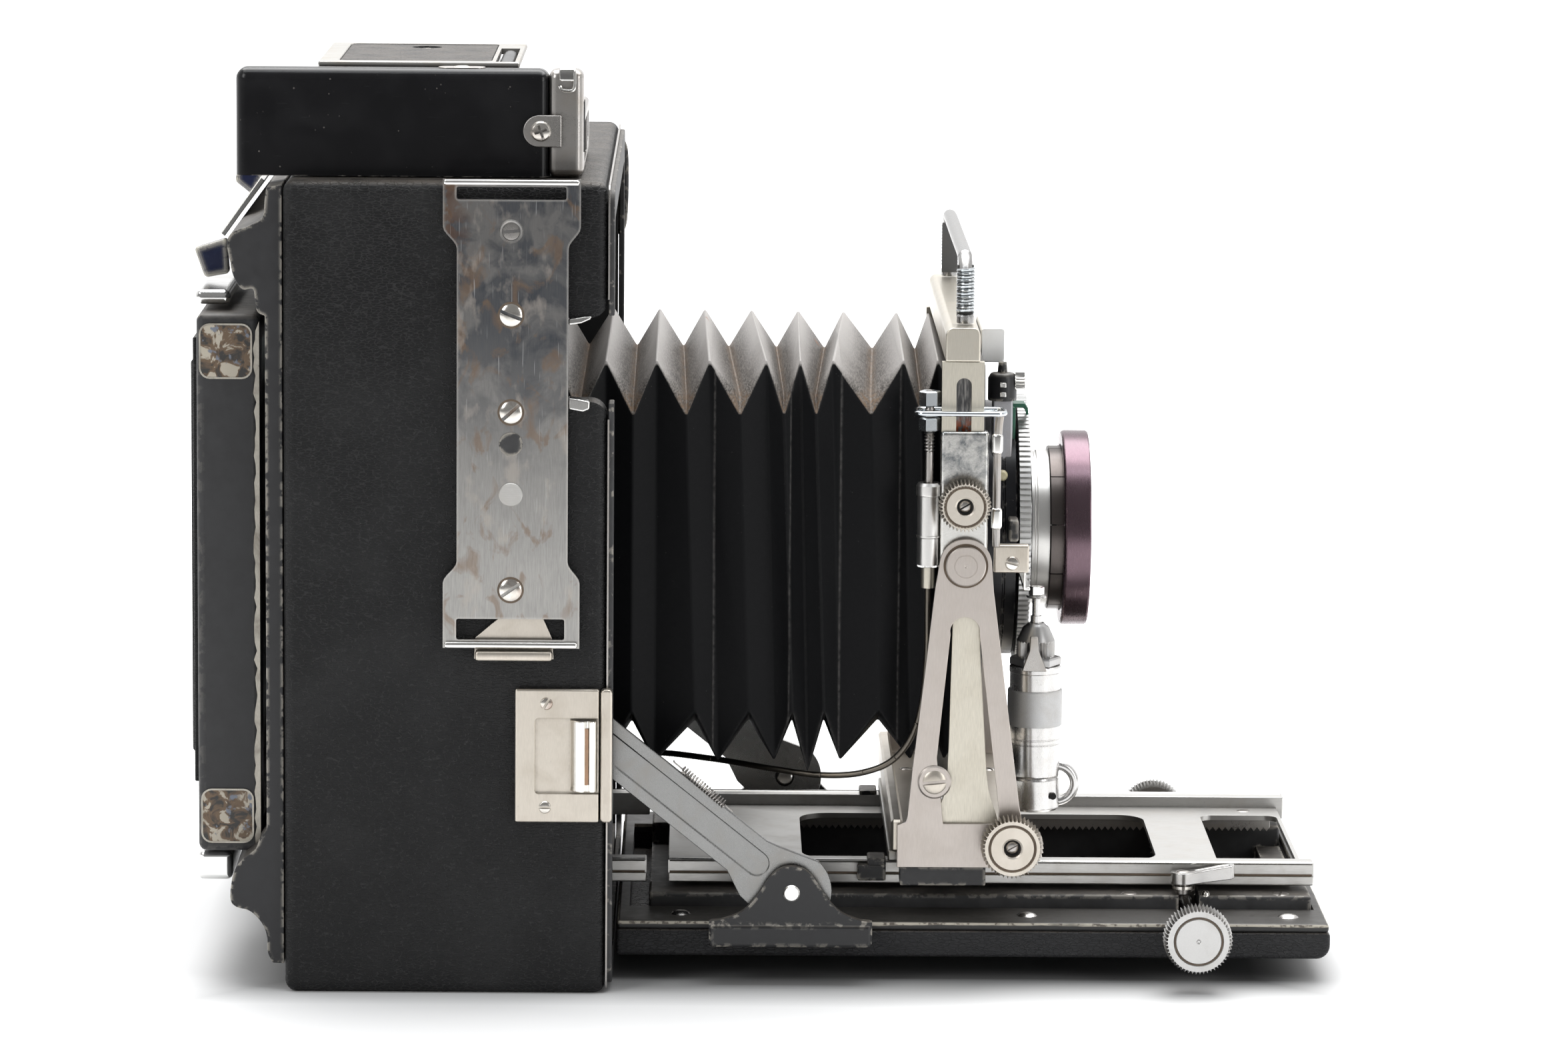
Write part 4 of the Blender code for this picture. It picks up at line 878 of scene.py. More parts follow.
def flash_strap():
    """The satin strap with flared, slotted ends, turned-out lips and screws."""
    low, high, near, far = 82.7, 192.0, -86.6, -85.4
    sides = {-1: (2.3, -0.9), 1: (28.0, 30.8)}

    def edge_of(side):
        """One side's edge, bottom to top: wide, narrow, wide."""
        middle, wide = sides[side]
        rows = [(98.0, 103.0, wide, middle), (high - 16.0, high - 11.0, middle, wide)]
        line = [(wide, low)]
        for start, stop, before, after in rows:
            for i in range(7):
                t = i / 6
                ease = t * t * (3 - 2 * t)
                line.append((before + (after - before) * ease, start + (stop - start) * t))
        return line + [(wide, high)]

    outline = edge_of(1) + edge_of(-1)[::-1]
    slots = [rounded_rectangle(2.2, 27.5, 187.3, 190.3, 0.5, 3),
             rounded_rectangle(2.2, 27.3, 84.7, 89.6, 0.5, 3)]
    place(plate("flash_strap", [outline, *slots], "XZ", near, far), STRAP, "flash_plate",
          replace=True, bevel=0.3)
    for word, x0, x1, z0, z1 in (("top", -0.8, 30.6, 190.6, 192.0), ("bottom", -0.6, 30.4, 82.7, 84.3)):
        place(box("strap_lip_" + word, (x0, -87.6, z0), (x1, -85.5, z1), 0.65, 4), BRIGHT,
              "flash_plate")
    for i, (z, turn) in enumerate(((180.0, 5), (160.6, -22), (138.0, 42), (96.4, 35))):
        at = (STRAP_MIDDLE, near, z)
        place(cylinder(f"strap_spacer_{i}", (STRAP_MIDDLE, -84.8, z), 2.4, 1.2, "near"), STEEL,
              "flash_plate")
        screw(f"strap_screw_{i}", at, 2.65 if i else 2.0, turn, "flash_plate",
              look=RUSTY_SCREW if i else STEEL, rise=0.5 if i else 0.05, slot=0.75)
        if i:
            ring(f"strap_stain_{i}", at, 2.65, 3.1, -0.1, 0.06, BROWN_STAIN_AND_SHADE, "flash_plate")
    socket = [(2.1, -0.2), (2.15, 0.3), (2.55, 0.35), (2.8, 0.0), (2.8, -0.3), (2.1, -0.3)]
    place(turned("strap_socket", socket, (STRAP_MIDDLE, near, 180.0), "near"), STRAP, "flash_plate")
    for word, z, look in (("dark", 130.6, WORN_BLACK), ("grey", 118.8, ALUMINIUM)):
        place(cylinder("strap_plug_" + word, (STRAP_MIDDLE, near, z), 2.75, 0.6, "near", 40, 0.15), look,
              "flash_plate")
    refined("flash_latch", NICKEL, 0.35, 3)


def release_group():
    """The plate round the shutter trigger, its side bracket and its trigger."""
    body = box("release_cover", (15.9, -86.0, 41.4), (35.5, -84.3, 73.0), 0.5, 4)
    pocket = plate("pocket", [rounded_rectangle(20.5, 40.0, 48.2, 66.1, 0.8, 3)], "XZ", -90, -84.8)
    place(cut(body, pocket), NICKEL, "release_plate", replace=True, bevel=0.12)
    bracket = plate("release_bracket", [rounded_rectangle(35.8, 38.6, 41.4, 73.0, 0.9, 4)], "XZ",
                    -86.2, -83.4)
    place(bracket, NICKEL, "release_plate", bevel=0.6, segments=4)
    screw("release_screw_top", (23.2, -86.0, 69.6), 1.5, 60, "release_plate", look=RUSTY_SCREW)
    screw("release_screw_bottom", (22.9, -86.0, 45.0), 1.5, 0, "release_plate", look=RUSTY_SCREW)
    line = [(28.6, -85.1), (28.9, -86.0), (30.9, -88.0), (31.5, -88.3), (32.1, -87.9),
            (32.4, -87.3), (32.9, -87.1), (33.3, -87.8), (33.9, -88.2), (34.5, -87.9), (35.0, -87.0),
            (35.0, -85.1)]
    place(plate("trigger_ridges", [line], "XY", 48.9, 65.7), BRIGHT, "release_trigger",
          replace=True, bevel=0.3, segments=3)
    stripe = plate("trigger_stripe", [rounded_rectangle(32.2, 33.0, 50.6, 64.0, 0.3, 3)], "XZ",
                   -87.5, -87.1)
    place(stripe, COPPER, "release_trigger")


# ---- rangefinder --------------------------------------------------------
def finder_case():
    """The casing made from three blocks, with its eyepiece and its far window."""
    base = span("rangefinder_housing")[0].z
    near_end = box("rangefinder_cover", (-49.4, -74, base - 6), (23.2, -65, 216.2), 2.6, 6)
    others = [box("tall", (-29.0, -67, base - 7), (9.6, -3, 215.4), 1.2, 5),
              box("low", (-34.0, -66, base - 8), (22.6, 62, 204.4), 3.6, 6),
              cylinder("eyepiece", (-35.0, -38.0, 199.5), 5.4, 12.0, "front", 48, 0.8)]
    shell = join(near_end, *others)
    shell = cut(shell, cylinder("eye", (-39.0, -38.0, 199.5), 3.8, 9.0, "front"),
                box("far_window", (16.0, 40.0, 196.4), (30.0, 52.0, 202.6)),
                box("under", (-60.0, -90.0, base - 20), (60.0, 90.0, base)))
    place(shell, GLOSS_BLACK, "rangefinder_housing", replace=True)
    ring("eyepiece_glass", (-39.6, -38.0, 199.5), 0, 3.7, 0, 0.6, DARK_GLASS, "rangefinder_housing",
         "front")


def finder_front():
    """The front bezel with its dark panes, its screwed tab and its clip."""
    base = span("rangefinder_housing")[0].z
    bezel = join(box("finder_bezel", (23.0, -74.0, base), (31.1, -64.5, 216.2), 2.0, 5),
                 box("finder_wall", (23.2, -66.0, base), (31.0, -4.0, 204.6), 1.2, 5))
    for name, y0, y1, z0, z1 in (("finder", -60, -32, 193.6, 202.6), ("small", -24, -12, 195, 202)):
        bezel = cut(bezel, plate(name, [rounded_rectangle(y0, y1, z0, z1, 1.2)], "YZ", 27.0, 40.0))
        place(plate(name + "_pane", [rounded_rectangle(y0 - 0.1, y1 + 0.1, z0 - 0.1, z1 + 0.1, 1.2)],
                    "YZ", 26.9, 29.4), DARK_GLASS, "rangefinder_front")
    place(bezel, STEEL, "rangefinder_front", replace=True, bevel=0.2)
    # painted shade: a dark sheet at the bezel's back edge
    bezel_shade_sheet = box("bezel_shade", (30.6, -72.0, 197.0), (31.3, -66.0, 209.0), 0.3)
    place(bezel_shade_sheet, BLACK_AND_SHADE, "rangefinder_front")
    tab_line = arc(20.8, 202.1, 3.7, 90, 270, 16) + [(26.0, 198.4), (26.0, 205.8)]
    place(plate("bezel_tab", [tab_line], "XZ", -75.0, -74.1), STEEL, "rangefinder_front", bevel=0.25)
    screw("tab_screw", (21.2, -75.0, 202.1), 2.4, 20, "rangefinder_front", look=RUSTY_SCREW, cross=True,
          rise=0.8)
    clip = smooth_route([(25.6, -74.4, 212.6), (26.2, -74.6, 211.7), (28.4, -74.7, 211.6),
                         (29.0, -74.6, 212.6), (29.0, -74.2, 215.6), (28.6, -73.4, 216.4)], 30)
    place(wire("bezel_clip", clip, 0.4), BRIGHT, "rangefinder_front")
    place(box("bezel_clip_leaf", (25.4, -74.5, 213.6), (29.2, -66.0, 216.6), 0.5, 3), BRIGHT,
          "rangefinder_front")


def finder_top():
    """The frame round the leather top, the dial, the inlay and the mirror arm."""
    (x0, y0, z0), (x1, y1, z1) = span("rangefinder_top")
    rim = box("top_rim", (x0, y0, z0), (x1, y1, z1), 0.5, 3)
    panel_line = rounded_rectangle(-26.4, 9.4, -60.2, -7.2, 2.0)
    rim = cut(rim, plate("panel_pocket", [panel_line], "XY", 216.5, 220),
              box("dial_gap", (10.3, -61.5, 200), (14.8, -20.0, 220)))
    place(rim, FINDER_FRAME, "rangefinder_top", replace=True)
    dip = turned("dip", [(0, -2), (3.2, -0.4), (4.2, 1.5), (0, 1.5)], (-7.7, -16, 216.6), "up", 40)
    leather = box("top_leather", (-26.2, -60.0, 216.2), (9.2, -7.4, 217.0), 0.3)
    place(cut(leather, dip), LEATHER, "rangefinder_top")
    screw("top_screw", (-7.7, -16.0, 216.5), 2.0, 40, "rangefinder_top", "up", RUSTY_SCREW, rise=0.25)
    dial = cylinder("top_dial", (12.6, -42.0, 214.8), 2.1, 38.0, "near", 40, 0.6)
    place(dial, GLOSS_BLACK, "rangefinder_housing")
    inlay = plate("cover_inlay", [rounded_rectangle(-2.7, 8.2, -71.2, -66.4, 2.3, 8)], "XY", 215.9,
                  216.45)
    place(inlay, STEEL, "rangefinder_housing", bevel=0.15)
    screw("inlay_screw", (2.8, -68.8, 216.45), 1.9, 15, "rangefinder_housing", "up", RUSTY_SCREW,
          rise=0.25)
    place(wire("mirror_arm_rod", [(-14, -19.8, 194.6), (13, -19.8, 194.6)], 0.9), STEEL,
          "rangefinder_arm")


# ---- back ---------------------------------------------------------------
def curved(points, count):
    """The flat points as a smooth line."""
    return [(p.x, p.y) for p in smooth_route([(a, b, 0) for a, b in points], count)]


def back_casting():
    """The cast frame with a hooked edge above and below."""
    front = -38.3
    top_hook = curved([(-41.9, 189.2), (-42.3, 185.7), (-42.8, 182.2), (-46.0, 180.2), (-49.6, 178.8),
                       (-51.0, 176.5), (-50.4, 172.6), (-49.7, 169.1), (-48.5, 166.6), (-47.1, 165.4),
                       (-45.1, 165.7), (-44.6, 163.6), (-44.1, 160.4), (-42.3, 159.4)], 40)
    bottom_hook = curved([(-42.3, 38.2), (-43.9, 36.2), (-45.0, 33.6), (-48.2, 30.9), (-50.2, 27.6),
                          (-50.9, 21.9), (-49.6, 19.8), (-46.2, 18.7), (-43.4, 15.7), (-42.3, 12.4),
                          (-42.2, 9.0), (-41.0, 6.4)], 40)
    outline = [(front, 6.3), (front, 189.8)] + top_hook + bottom_hook
    casting = plate("back_casting", [outline], "XZ", -81.0, 81.0)
    window = box("window", (-60, -66, 40), (-30, 66, 157))
    place(cut(casting, window), CASTING, "back_frame", replace=True, bevel=0.45, segments=3)


def spring_panel():
    """The spring panel with its worn pads and its chipped edge."""
    panel = box("spring_panel", (-59.0, -72.0, 31.2), (-44.2, 72.0, 158.6), 1.8, 5)
    panel = cut(panel, box("opening", (-70, -60, 42), (-30, 60, 148)),
                box("rebate", (-52.6, -64, 38), (-30, 64, 152)))
    place(panel, PANEL, "focusing_panel", replace=True)
    for word, z0, z1 in (("top", 143.6, 156.4), ("bottom", 33.4, 46.2)):
        pad = plate("panel_pad_" + word, [rounded_rectangle(-58.2, -46.0, z0, z1, 2.4, 5)], "XZ",
                    -72.3, -71.8)
        place(pad, WORN_PAD, "focusing_panel", bevel=0.15)
        rim_line = [rounded_rectangle(-58.3, -45.9, z0 - 0.1, z1 + 0.1, 2.5, 5),
                    rounded_rectangle(-57.9, -46.3, z0 + 0.3, z1 - 0.3, 2.1, 5)]
        place(plate("pad_rim_" + word, rim_line, "XZ", -72.4, -71.9), CREAM, "focusing_panel")
    chips = random.Random(7)
    ragged = [(-45.3 + chips.uniform(-0.5, 0.35), 33.0 + 2.1 * k) for k in range(59)]
    place(plate("panel_edge_wear", [ragged + [(-44.3, 157.0), (-44.3, 32.0)]], "XZ", -72.08, -71.9),
          CREAM, "focusing_panel")


def screen_and_cover():
    """The focusing screen, its leather cover and the two holder slides."""
    glass = box("focusing_glass", (-52.2, -63.6, 38.4), (-50.2, 63.6, 151.6), 0.2)
    place(glass, FROSTED, "ground_glass", replace=True)
    lid = box("hood_lid", (-60.6, -62.0, 46.0), (-59.3, 62.0, 152.0), 0.4, 3)
    place(join(lid, box("bulge", (-61.6, -56.0, 52.0), (-59.8, 56.0, 146.0), 0.9, 4)), LEATHER,
          "hood_cover", replace=True)
    for word in ("top", "bottom"):
        low, high = span("holder_lock_" + word)
        bar = box("holder_slide_bar_" + word, low, high, 1.5, 5)
        place(bar, CHROME, "holder_lock_" + word, replace=True)


def back_catch():
    """The sprung leaf of the back's catch and its two enamelled tabs."""
    leaf = plate("catch_leaf", [[(-44.7, 187.4), (-45.7, 188.2), (-55.2, 174.8), (-54.2, 174.1)]],
                 "XZ", -46.0, 46.0)
    place(leaf, BRIGHT, "back_latch", replace=True, bevel=0.2)
    tabs = {"near": ([(-53.1, 165.3), (-59.0, 164.2), (-61.5, 171.3), (-53.6, 173.8)], -46.2, -42.8),
            "far": ([(-53.8, 174.9), (-58.5, 178.6), (-57.6, 183.2), (-50.4, 182.4)], 42.8, 46.0)}
    for word, (line, low, high) in tabs.items():
        place(plate("catch_tab_" + word, [line], "XZ", low, high), NAVY, "back_latch", bevel=0.9,
              segments=4)


# ---- bellows ------------------------------------------------------------
NEAR_RIDGES = (36.2, 48.1, 60.6, 74.1, 82.1, 89.8, 106.7, 114.7)
FAR_RIDGES = (36.3, 48.0, 59.4, 71.2, 82.9, 94.3, 107.7, 115.6)
NEAR_VALLEYS = (42.7, 55.2, 67.9, 78.3, 85.9, 98.9, 110.8)
FAR_VALLEYS = (42.4, 54.1, 65.5, 77.5, 89.6, 101.6, 112.3)
FOLD = 11.8
BELLOWS_CHAIN = (("camera_body", "drop_bed", 10.0), ("drop_bed", "track", 32.0),
                 ("track", "standard_carriage", 62.0), ("standard_carriage", "shift_plate", 80.0),
                 ("shift_plate", "swing_base", 92.0), ("swing_base", "tilt_u", 106.0),
                 ("tilt_u", "lens_carrier", 121.5))


def fold_line(bm, near, far, ridge):
    """One ring of the bellows: a top ridge, or a top valley with side ridges."""
    corners = []
    for y_side, z_side in ((-1, 1), (1, 1), (1, -1), (-1, -1)):
        x = (near if y_side < 0 else far) + (2.6 if z_side < 0 and near > 50 else 0.0)
        taper = 0.075 * (max(x, 30.0) - 36.0)
        width = 54.3 - taper if ridge else 49.6 - taper * 0.8
        height = {(True, 1): 146.4, (True, -1): 49.8, (False, 1): 137.2, (False, -1): 59.2}[ridge, z_side]
        if z_side < 0 and 80 < near < 84:
            height -= 3.0
        first = bm.verts.new((x, y_side * width, height))
        side = first if ridge else bm.verts.new(
            (x, y_side * (58.2 - taper), height - z_side * 3.4))
        corners.append((first, side))
    return corners


def folded_cloth():
    """Pleated cloth: every fold changes over between top and side at a corner gusset."""
    bm = bmesh.new()
    rings = [(-27.4, -27.4, False)]
    for k in range(5, 0, -1):
        ridge, valley = NEAR_RIDGES[0] - FOLD * k, NEAR_RIDGES[0] - FOLD * (k - 0.5)
        rings += [(ridge, ridge, True), (valley, valley, False)]
    for k, (near, far) in enumerate(zip(NEAR_RIDGES, FAR_RIDGES)):
        rings.append((near, far, True))
        if k < len(NEAR_VALLEYS):
            rings.append((NEAR_VALLEYS[k], FAR_VALLEYS[k], False))
    rings.append((121.4, 121.4, False))
    lines = [fold_line(bm, *ring_place) for ring_place in rings]
    for line, after in zip(lines, lines[1:]):
        for k in range(4):
            (a_top, a_side), (b_top, b_side) = line[k], after[k]
            (a_next, a_next_side), (b_next, b_next_side) = line[(k + 1) % 4], after[(k + 1) % 4]
            if k % 2 == 0:
                bm.faces.new((a_top, a_next, b_next, b_top))
            else:
                bm.faces.new((a_side, a_next_side, b_next_side, b_side))
            gusset = list(dict.fromkeys((a_top, a_side, b_side, b_top)))
            if len(gusset) > 2:
                bm.faces.new(gusset)
    cloth = object_of("bellows_cloth", bm)
    rounding = cloth.modifiers.new("soft folds", "BEVEL")
    rounding.width = 0.55 * MM
    rounding.segments = 3
    rounding.angle_limit = math.radians(20)
    return settle(cloth)


def bellows():
    """The cloth in strips, cut across the lens axis at the stops listed in BELLOWS_CHAIN."""
    cloth = folded_cloth()
    start = -27.5
    for k, (before, after, stop) in enumerate(BELLOWS_CHAIN):
        bm = bmesh.new()
        bm.from_mesh(cloth.data)
        for at, outward in ((start, -1), (stop, 1)):
            whole = bm.verts[:] + bm.edges[:] + bm.faces[:]
            bmesh.ops.bisect_plane(bm, geom=whole, plane_co=(at * MM, 0, 0),
                                   plane_no=(outward, 0, 0), clear_outer=True)
        bm.transform(Matrix.Scale(1 / MM, 4))
        part = object_of(f"bellows_{k}", bm)
        thick = part.modifiers.new("cloth", "SOLIDIFY")
        thick.thickness = 0.5 * MM
        thick.offset = -1
        part = settle(part)
        part.data.materials.append(BELLOWS)
        part.data.shade_smooth()
        part.data.set_sharp_from_angle(angle=math.radians(40))
        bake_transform(part)
        if k == 0:
            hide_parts("bellows")
        start = stop
    bpy.data.objects.remove(cloth, do_unlink=True)


# ---- bed and track ------------------------------------------------------
def bed():
    """The leather covered bed with its bare worn rim, and the black track bars."""
    (x0, y0, z0), (x1, y1, z1) = span("bed")
    leather_top = 11.9
    well = ((x0 + 3, -50.0, z0 + 2.2), (x1 - 2.4, 50.0, 30))
    shaft = ((174.1, -90, 10.3), (179.1, 90, 30))
    cover_line = ([(x0, z0)] + arc(x1 - 3.2, z0 + 3.2, 3.2, -90, 0, 8)
                  + [(x1, leather_top), (x0, leather_top)])
    cover = settle(rounded(plate("bed_cover", [cover_line], "XZ", y0, y1), 0.9, 4))
    rim = box("bed_rim", (x0 + 0.3, y0 + 0.4, leather_top + 0.02), (x1 - 0.3, y1 - 0.4, z1), 0.8, 4)
    for slab, look in ((cover, BED_LEATHER), (rim, RIM)):
        tray = cut(slab, box("well", *well), box("shaft", *shaft))
        place(tray, look, "bed", replace=slab is cover)
    dome = [(0, 0.9), (1.0, 0.82), (1.9, 0.5), (2.5, 0.0), (2.5, -0.4), (0, -0.4)]
    for side, word in SIDES:
        for k, x in enumerate((54.6, 137.3, 199.7)):
            place(turned(f"bed_rivet_{word}_{k}", dome, (x, side * 58.0, z1), "up", 32), LEVER_METAL,
                  "bed")
    bars = [side_box("bar", side, (47.0, 206.0), (36.0, 49.6), (8.1, 17.2), 0.7, 4)
            for side, _ in SIDES]
    base = join(bars[0], box("cross", (47.0, -37, 8.1), (53.0, 37, 12.0)),
                box("cross", (200.0, -37, 8.1), (206.0, 37, 12.0)), bars[1])
    base = cut(base, box("shaft", (174.1, -60, 10.3), (179.1, 60, 30)))
    place(base, WORN_BLACK, "track_base", replace=True)
    for side, word in SIDES:
        for k, x in enumerate((162.3, 198.8)):
            screw(f"track_screw_{word}_{k}", (x, side * 46.8, 17.2), 2.1, 30 + 50 * k, "track_base", "up",
                  STEEL, rise=0.25)


def rack(name, side):
    """A toothed strip under the plate, its teeth pointing down to the pinion."""
    pitch, top, root, tip = 1.6, 20.4, 18.4, 17.35
    x0, x1 = 54.0, 203.6
    count = int((x1 - x0) / pitch)
    teeth = [(x0 + pitch * (k + part), root if part == 0 else tip)
             for k in range(count) for part in (0, 0.5)]
    line = [(x0, top), *teeth, (x0 + pitch * count, root), (x0 + pitch * count, top)]
    return plate(name, [line], "XZ", *y_span(side, 28.4, 35.0))


def rail(name, host, side, word, start, stop, top):
    """A grooved rail with bright lips, and grime in its groove."""
    bar = side_box(f"{name}_{word}", side, (start, stop), (38.5, 43.95), (18.6, top), 0.35, 3)
    groove = side_box("groove", side, (start - 5, stop + 5), (43.1, 45.0), (20.7, 24.0))
    place(cut(bar, groove), ALUMINIUM, host, bevel=0.1)
    for end, y, z, radius, look in (("lip_%s_0", 43.4, 23.98, 0.42, BRIGHT),
                                    ("lip_%s_1", 43.4, 20.38, 0.42, BRIGHT),
                                    ("grime_%s", 43.0, 21.0, 0.3, BROWN_STAIN_AND_SHADE)):
        line = [(start + 0.4, side * y, z), (stop - 0.4, side * y, z)]
        place(wire(f"{name}_{end % word}", line, radius), look, host)


def track():
    """The windowed plate with its grooved rails, racks, pinions and inner rails."""
    (x0, _, _), (x1, _, z1) = span("focus_track")
    sheet = rounded_rectangle(x0, 205.2, -39.5, 39.5, 1.0)
    windows = [rounded_rectangle(84.0, 170.4, -28.0, 28.0, 7, 8),
               rounded_rectangle(185.0, 204.2, -28.0, 28.0, 3, 8)]
    place(plate("track_plate", [sheet, *windows], "XY", 20.2, 21.5), ALUMINIUM, "focus_track",
          replace=True, bevel=0.2)
    for side, word in SIDES:
        rail("rail", "focus_track", side, word, x0, x1, z1)
        rail("inner_rail", "inner_rails", side, word, -24.0, 46.3, z1)
        place(rack(f"rack_{word}", side), STEEL, "focus_track", bevel=0.08)
        pinion = [(0, -2.6), (4.15, -2.6, 1), (4.15, 2.6, 1), (0, 2.6)]
        place(turned(f"pinion_{word}", pinion, (SHAFT[0], side * 32.6, SHAFT[1]), "far", 64, 16, 1.5),
              STEEL, "focus_shaft", replace=side < 0)
        for k, x in enumerate((58.0, 196.5)):
            screw(f"plate_screw_{word}_{k}", (x, side * 34.0, 21.5), 1.7, 20, "focus_track", "up", STEEL,
                  rise=0.2)
    place(cylinder("focus_rod", (SHAFT[0], 0, SHAFT[1]), 1.9, 145.0, "far", 32, 0.2), STEEL, "focus_shaft")
    inner = box("inner_tray", (-24.0, -44.0, 9.3), (36.0, 44.0, 11.9), 0.3)
    posts = [side_box("post", side, (-24.0, 36.0), (38.7, 43.7), (11.5, 18.9)) for side, _ in SIDES]
    place(join(inner, *posts), WORN_BLACK, "inner_rails", replace=True, bevel=0.2)


def lock_and_stops():
    """The track lock lever with its slotted hub, and the two folding stops."""
    line = (arc(*LEVER_HUB, 3.0, 60, 300, 20)
            + [(179.6, -49.3), (186.8, -49.0), (187.5, -48.2), (187.5, -46.0), (186.8, -45.2),
               (179.6, -44.9)])
    lever = plate("lock_lever_arm", [line], "XY", 19.8, 22.6)
    lever = cut(lever, box("lever_groove", (178.2, -47.7, 22.2), (186.4, -46.5, 24.0)))
    bend, middle = 176.8 * MM, 21.5 * MM
    for vertex in lever.data.vertices:
        rise = 0.17 if vertex.co.z > middle else 0.13
        vertex.co.z += max(0.0, vertex.co.x - bend) * rise
    place(lever, LEVER_METAL, "track_lock", replace=True, bevel=0.35, segments=3)
    place(cylinder("lock_hub", (*LEVER_HUB, 18.6), 1.5, 2.8, "up", 40, 0.1), STEEL, "track_lock")
    screw("lock_screw", (*LEVER_HUB, 22.6), 1.7, 25, "track_lock", "up", STEEL, rise=0.25)
    screw("lock_stop_screw", (180.6, -48.4, 17.3), 1.1, 50, "track_base", "up", RUSTY_SCREW, rise=0.9)
    ring("lock_washer", (*LEVER_HUB, 18.6), 1.0, 2.7, 0, 0.7, RUSTY_SCREW, "track_lock", "up")
    for side, word in SIDES:
        stop = side_box("stop_" + word, side, (97.0, 103.8), (44.3, 46.6), (19.7, 23.6), 0.45, 3)
        leaf = side_box("leaf", side, (99.4, 103.8), (38.6, 46.6), (23.3, 25.2), 0.45, 3)
        place(join(stop, leaf), WORN_BLACK, "infinity_stop_" + word, replace=True)


def brace_place(along, across):
    """A point on the strut, from its lower pin, in the strut's own directions."""
    (px, pz), (sx, sz) = BRACE_PIN, BRACE_STUD
    lean = math.atan2(sz - pz, px - sx)
    return (px - math.cos(lean) * along + math.sin(lean) * across,
            pz + math.sin(lean) * along + math.cos(lean) * across)


def strut(side, word):
    """A channelled strut with its slot above and its pin eye below."""
    length, half = math.dist(BRACE_PIN, BRACE_STUD), 5.7
    foot = [brace_place(*p) for p in arc(0, 0, 9.5, 65, 285, 40)]
    outline = ([brace_place(length + 18, -half), brace_place(length + 18, half),
                brace_place(12.0, half), brace_place(8.4, 6.6)] + foot[5:]
               + [brace_place(8.8, -8.6), brace_place(12.0, -half - 1.4), brace_place(15.0, -half)])
    slot = [brace_place(length - 3.2, -2.5), brace_place(length - 3.2, 2.5),
            brace_place(length + 13.0, 2.5), brace_place(length + 13.0, -2.5)]
    eye = arc(*BRACE_PIN, 2.4, 0, 348, 29)
    brace = plate("brace_" + word, [outline, slot, eye], "XZ", *y_span(side, 70.4, 71.9))
    start, stop, reach = 10.5, length - 6.5, 2.9
    channel = ([brace_place(start + reach * math.cos(math.radians(a)),
                            reach * math.sin(math.radians(a))) for a in range(90, 271, 15)]
               + [brace_place(stop, -reach), brace_place(stop, reach)])
    brace = cut(brace, plate("channel", [channel], "XZ", *y_span(side, 71.5, 74.0)))
    place(brace, STRUT_STEEL, "strut_" + word, replace=True, bevel=0.3, segments=3)


def strut_spring(side, word):
    """The tension spring along the strut, with a hook at each end."""
    (ax, az), (bx, bz) = (54.9, 51.8), (64.9, 43.3)
    coil = helix((ax, side * 73.0, az), (bx, side * 73.0, bz), (0, side * 0.85, 0),
                 (0.65 * 0.85, 0, 0.76 * 0.85), 17, 10)
    for name, (ex, ez), (hx, hz) in (("top", (ax, az), (52.9, 53.5)), ("low", (bx, bz), (66.7, 41.8))):
        line = [(ex, side * 73.0, ez), (hx, side * 73.0, hz), (hx, side * 71.9, hz)]
        place(wire(f"spring_hook_{name}_{word}", line, 0.22), STEEL, "strut_" + word)
    place(wire("brace_spring_" + word, coil, 0.24, resolution=1), STEEL, "strut_" + word)


def bed_bracket(side, word):
    """The arched bracket on the bed that carries the strut's pin."""
    bell = curved([(61.4, 15.6), (65.0, 16.2), (69.2, 18.0), (72.6, 21.6), (75.0, 25.4),
                   (77.6, 28.0), (80.8, 28.9), (84.0, 28.0), (86.6, 25.4), (89.0, 21.6),
                   (92.4, 18.0), (96.4, 16.2), (99.9, 15.6)], 44)
    bracket = plate("bracket_" + word, [[(61.4, 10.4)] + bell + [(99.9, 10.4)]], "XZ",
                    *y_span(side, 72.6, 74.7))
    flange = side_box("flange", side, (61.4, 99.9), (67.3, 75.2), (9.4, 15.0), 1.0, 4)
    place(join(bracket, flange), WORN_GLOSS, "bed_bracket_" + word, replace=True, bevel=0.35,
          segments=3)
    at = (BRACE_PIN[0], side * STRUT_REACH, BRACE_PIN[1])
    place(cylinder("brace_pin_" + word, at, 2.0, 5.2, "far", 40, 0.35), BRIGHT,
          "bed_bracket_" + word)


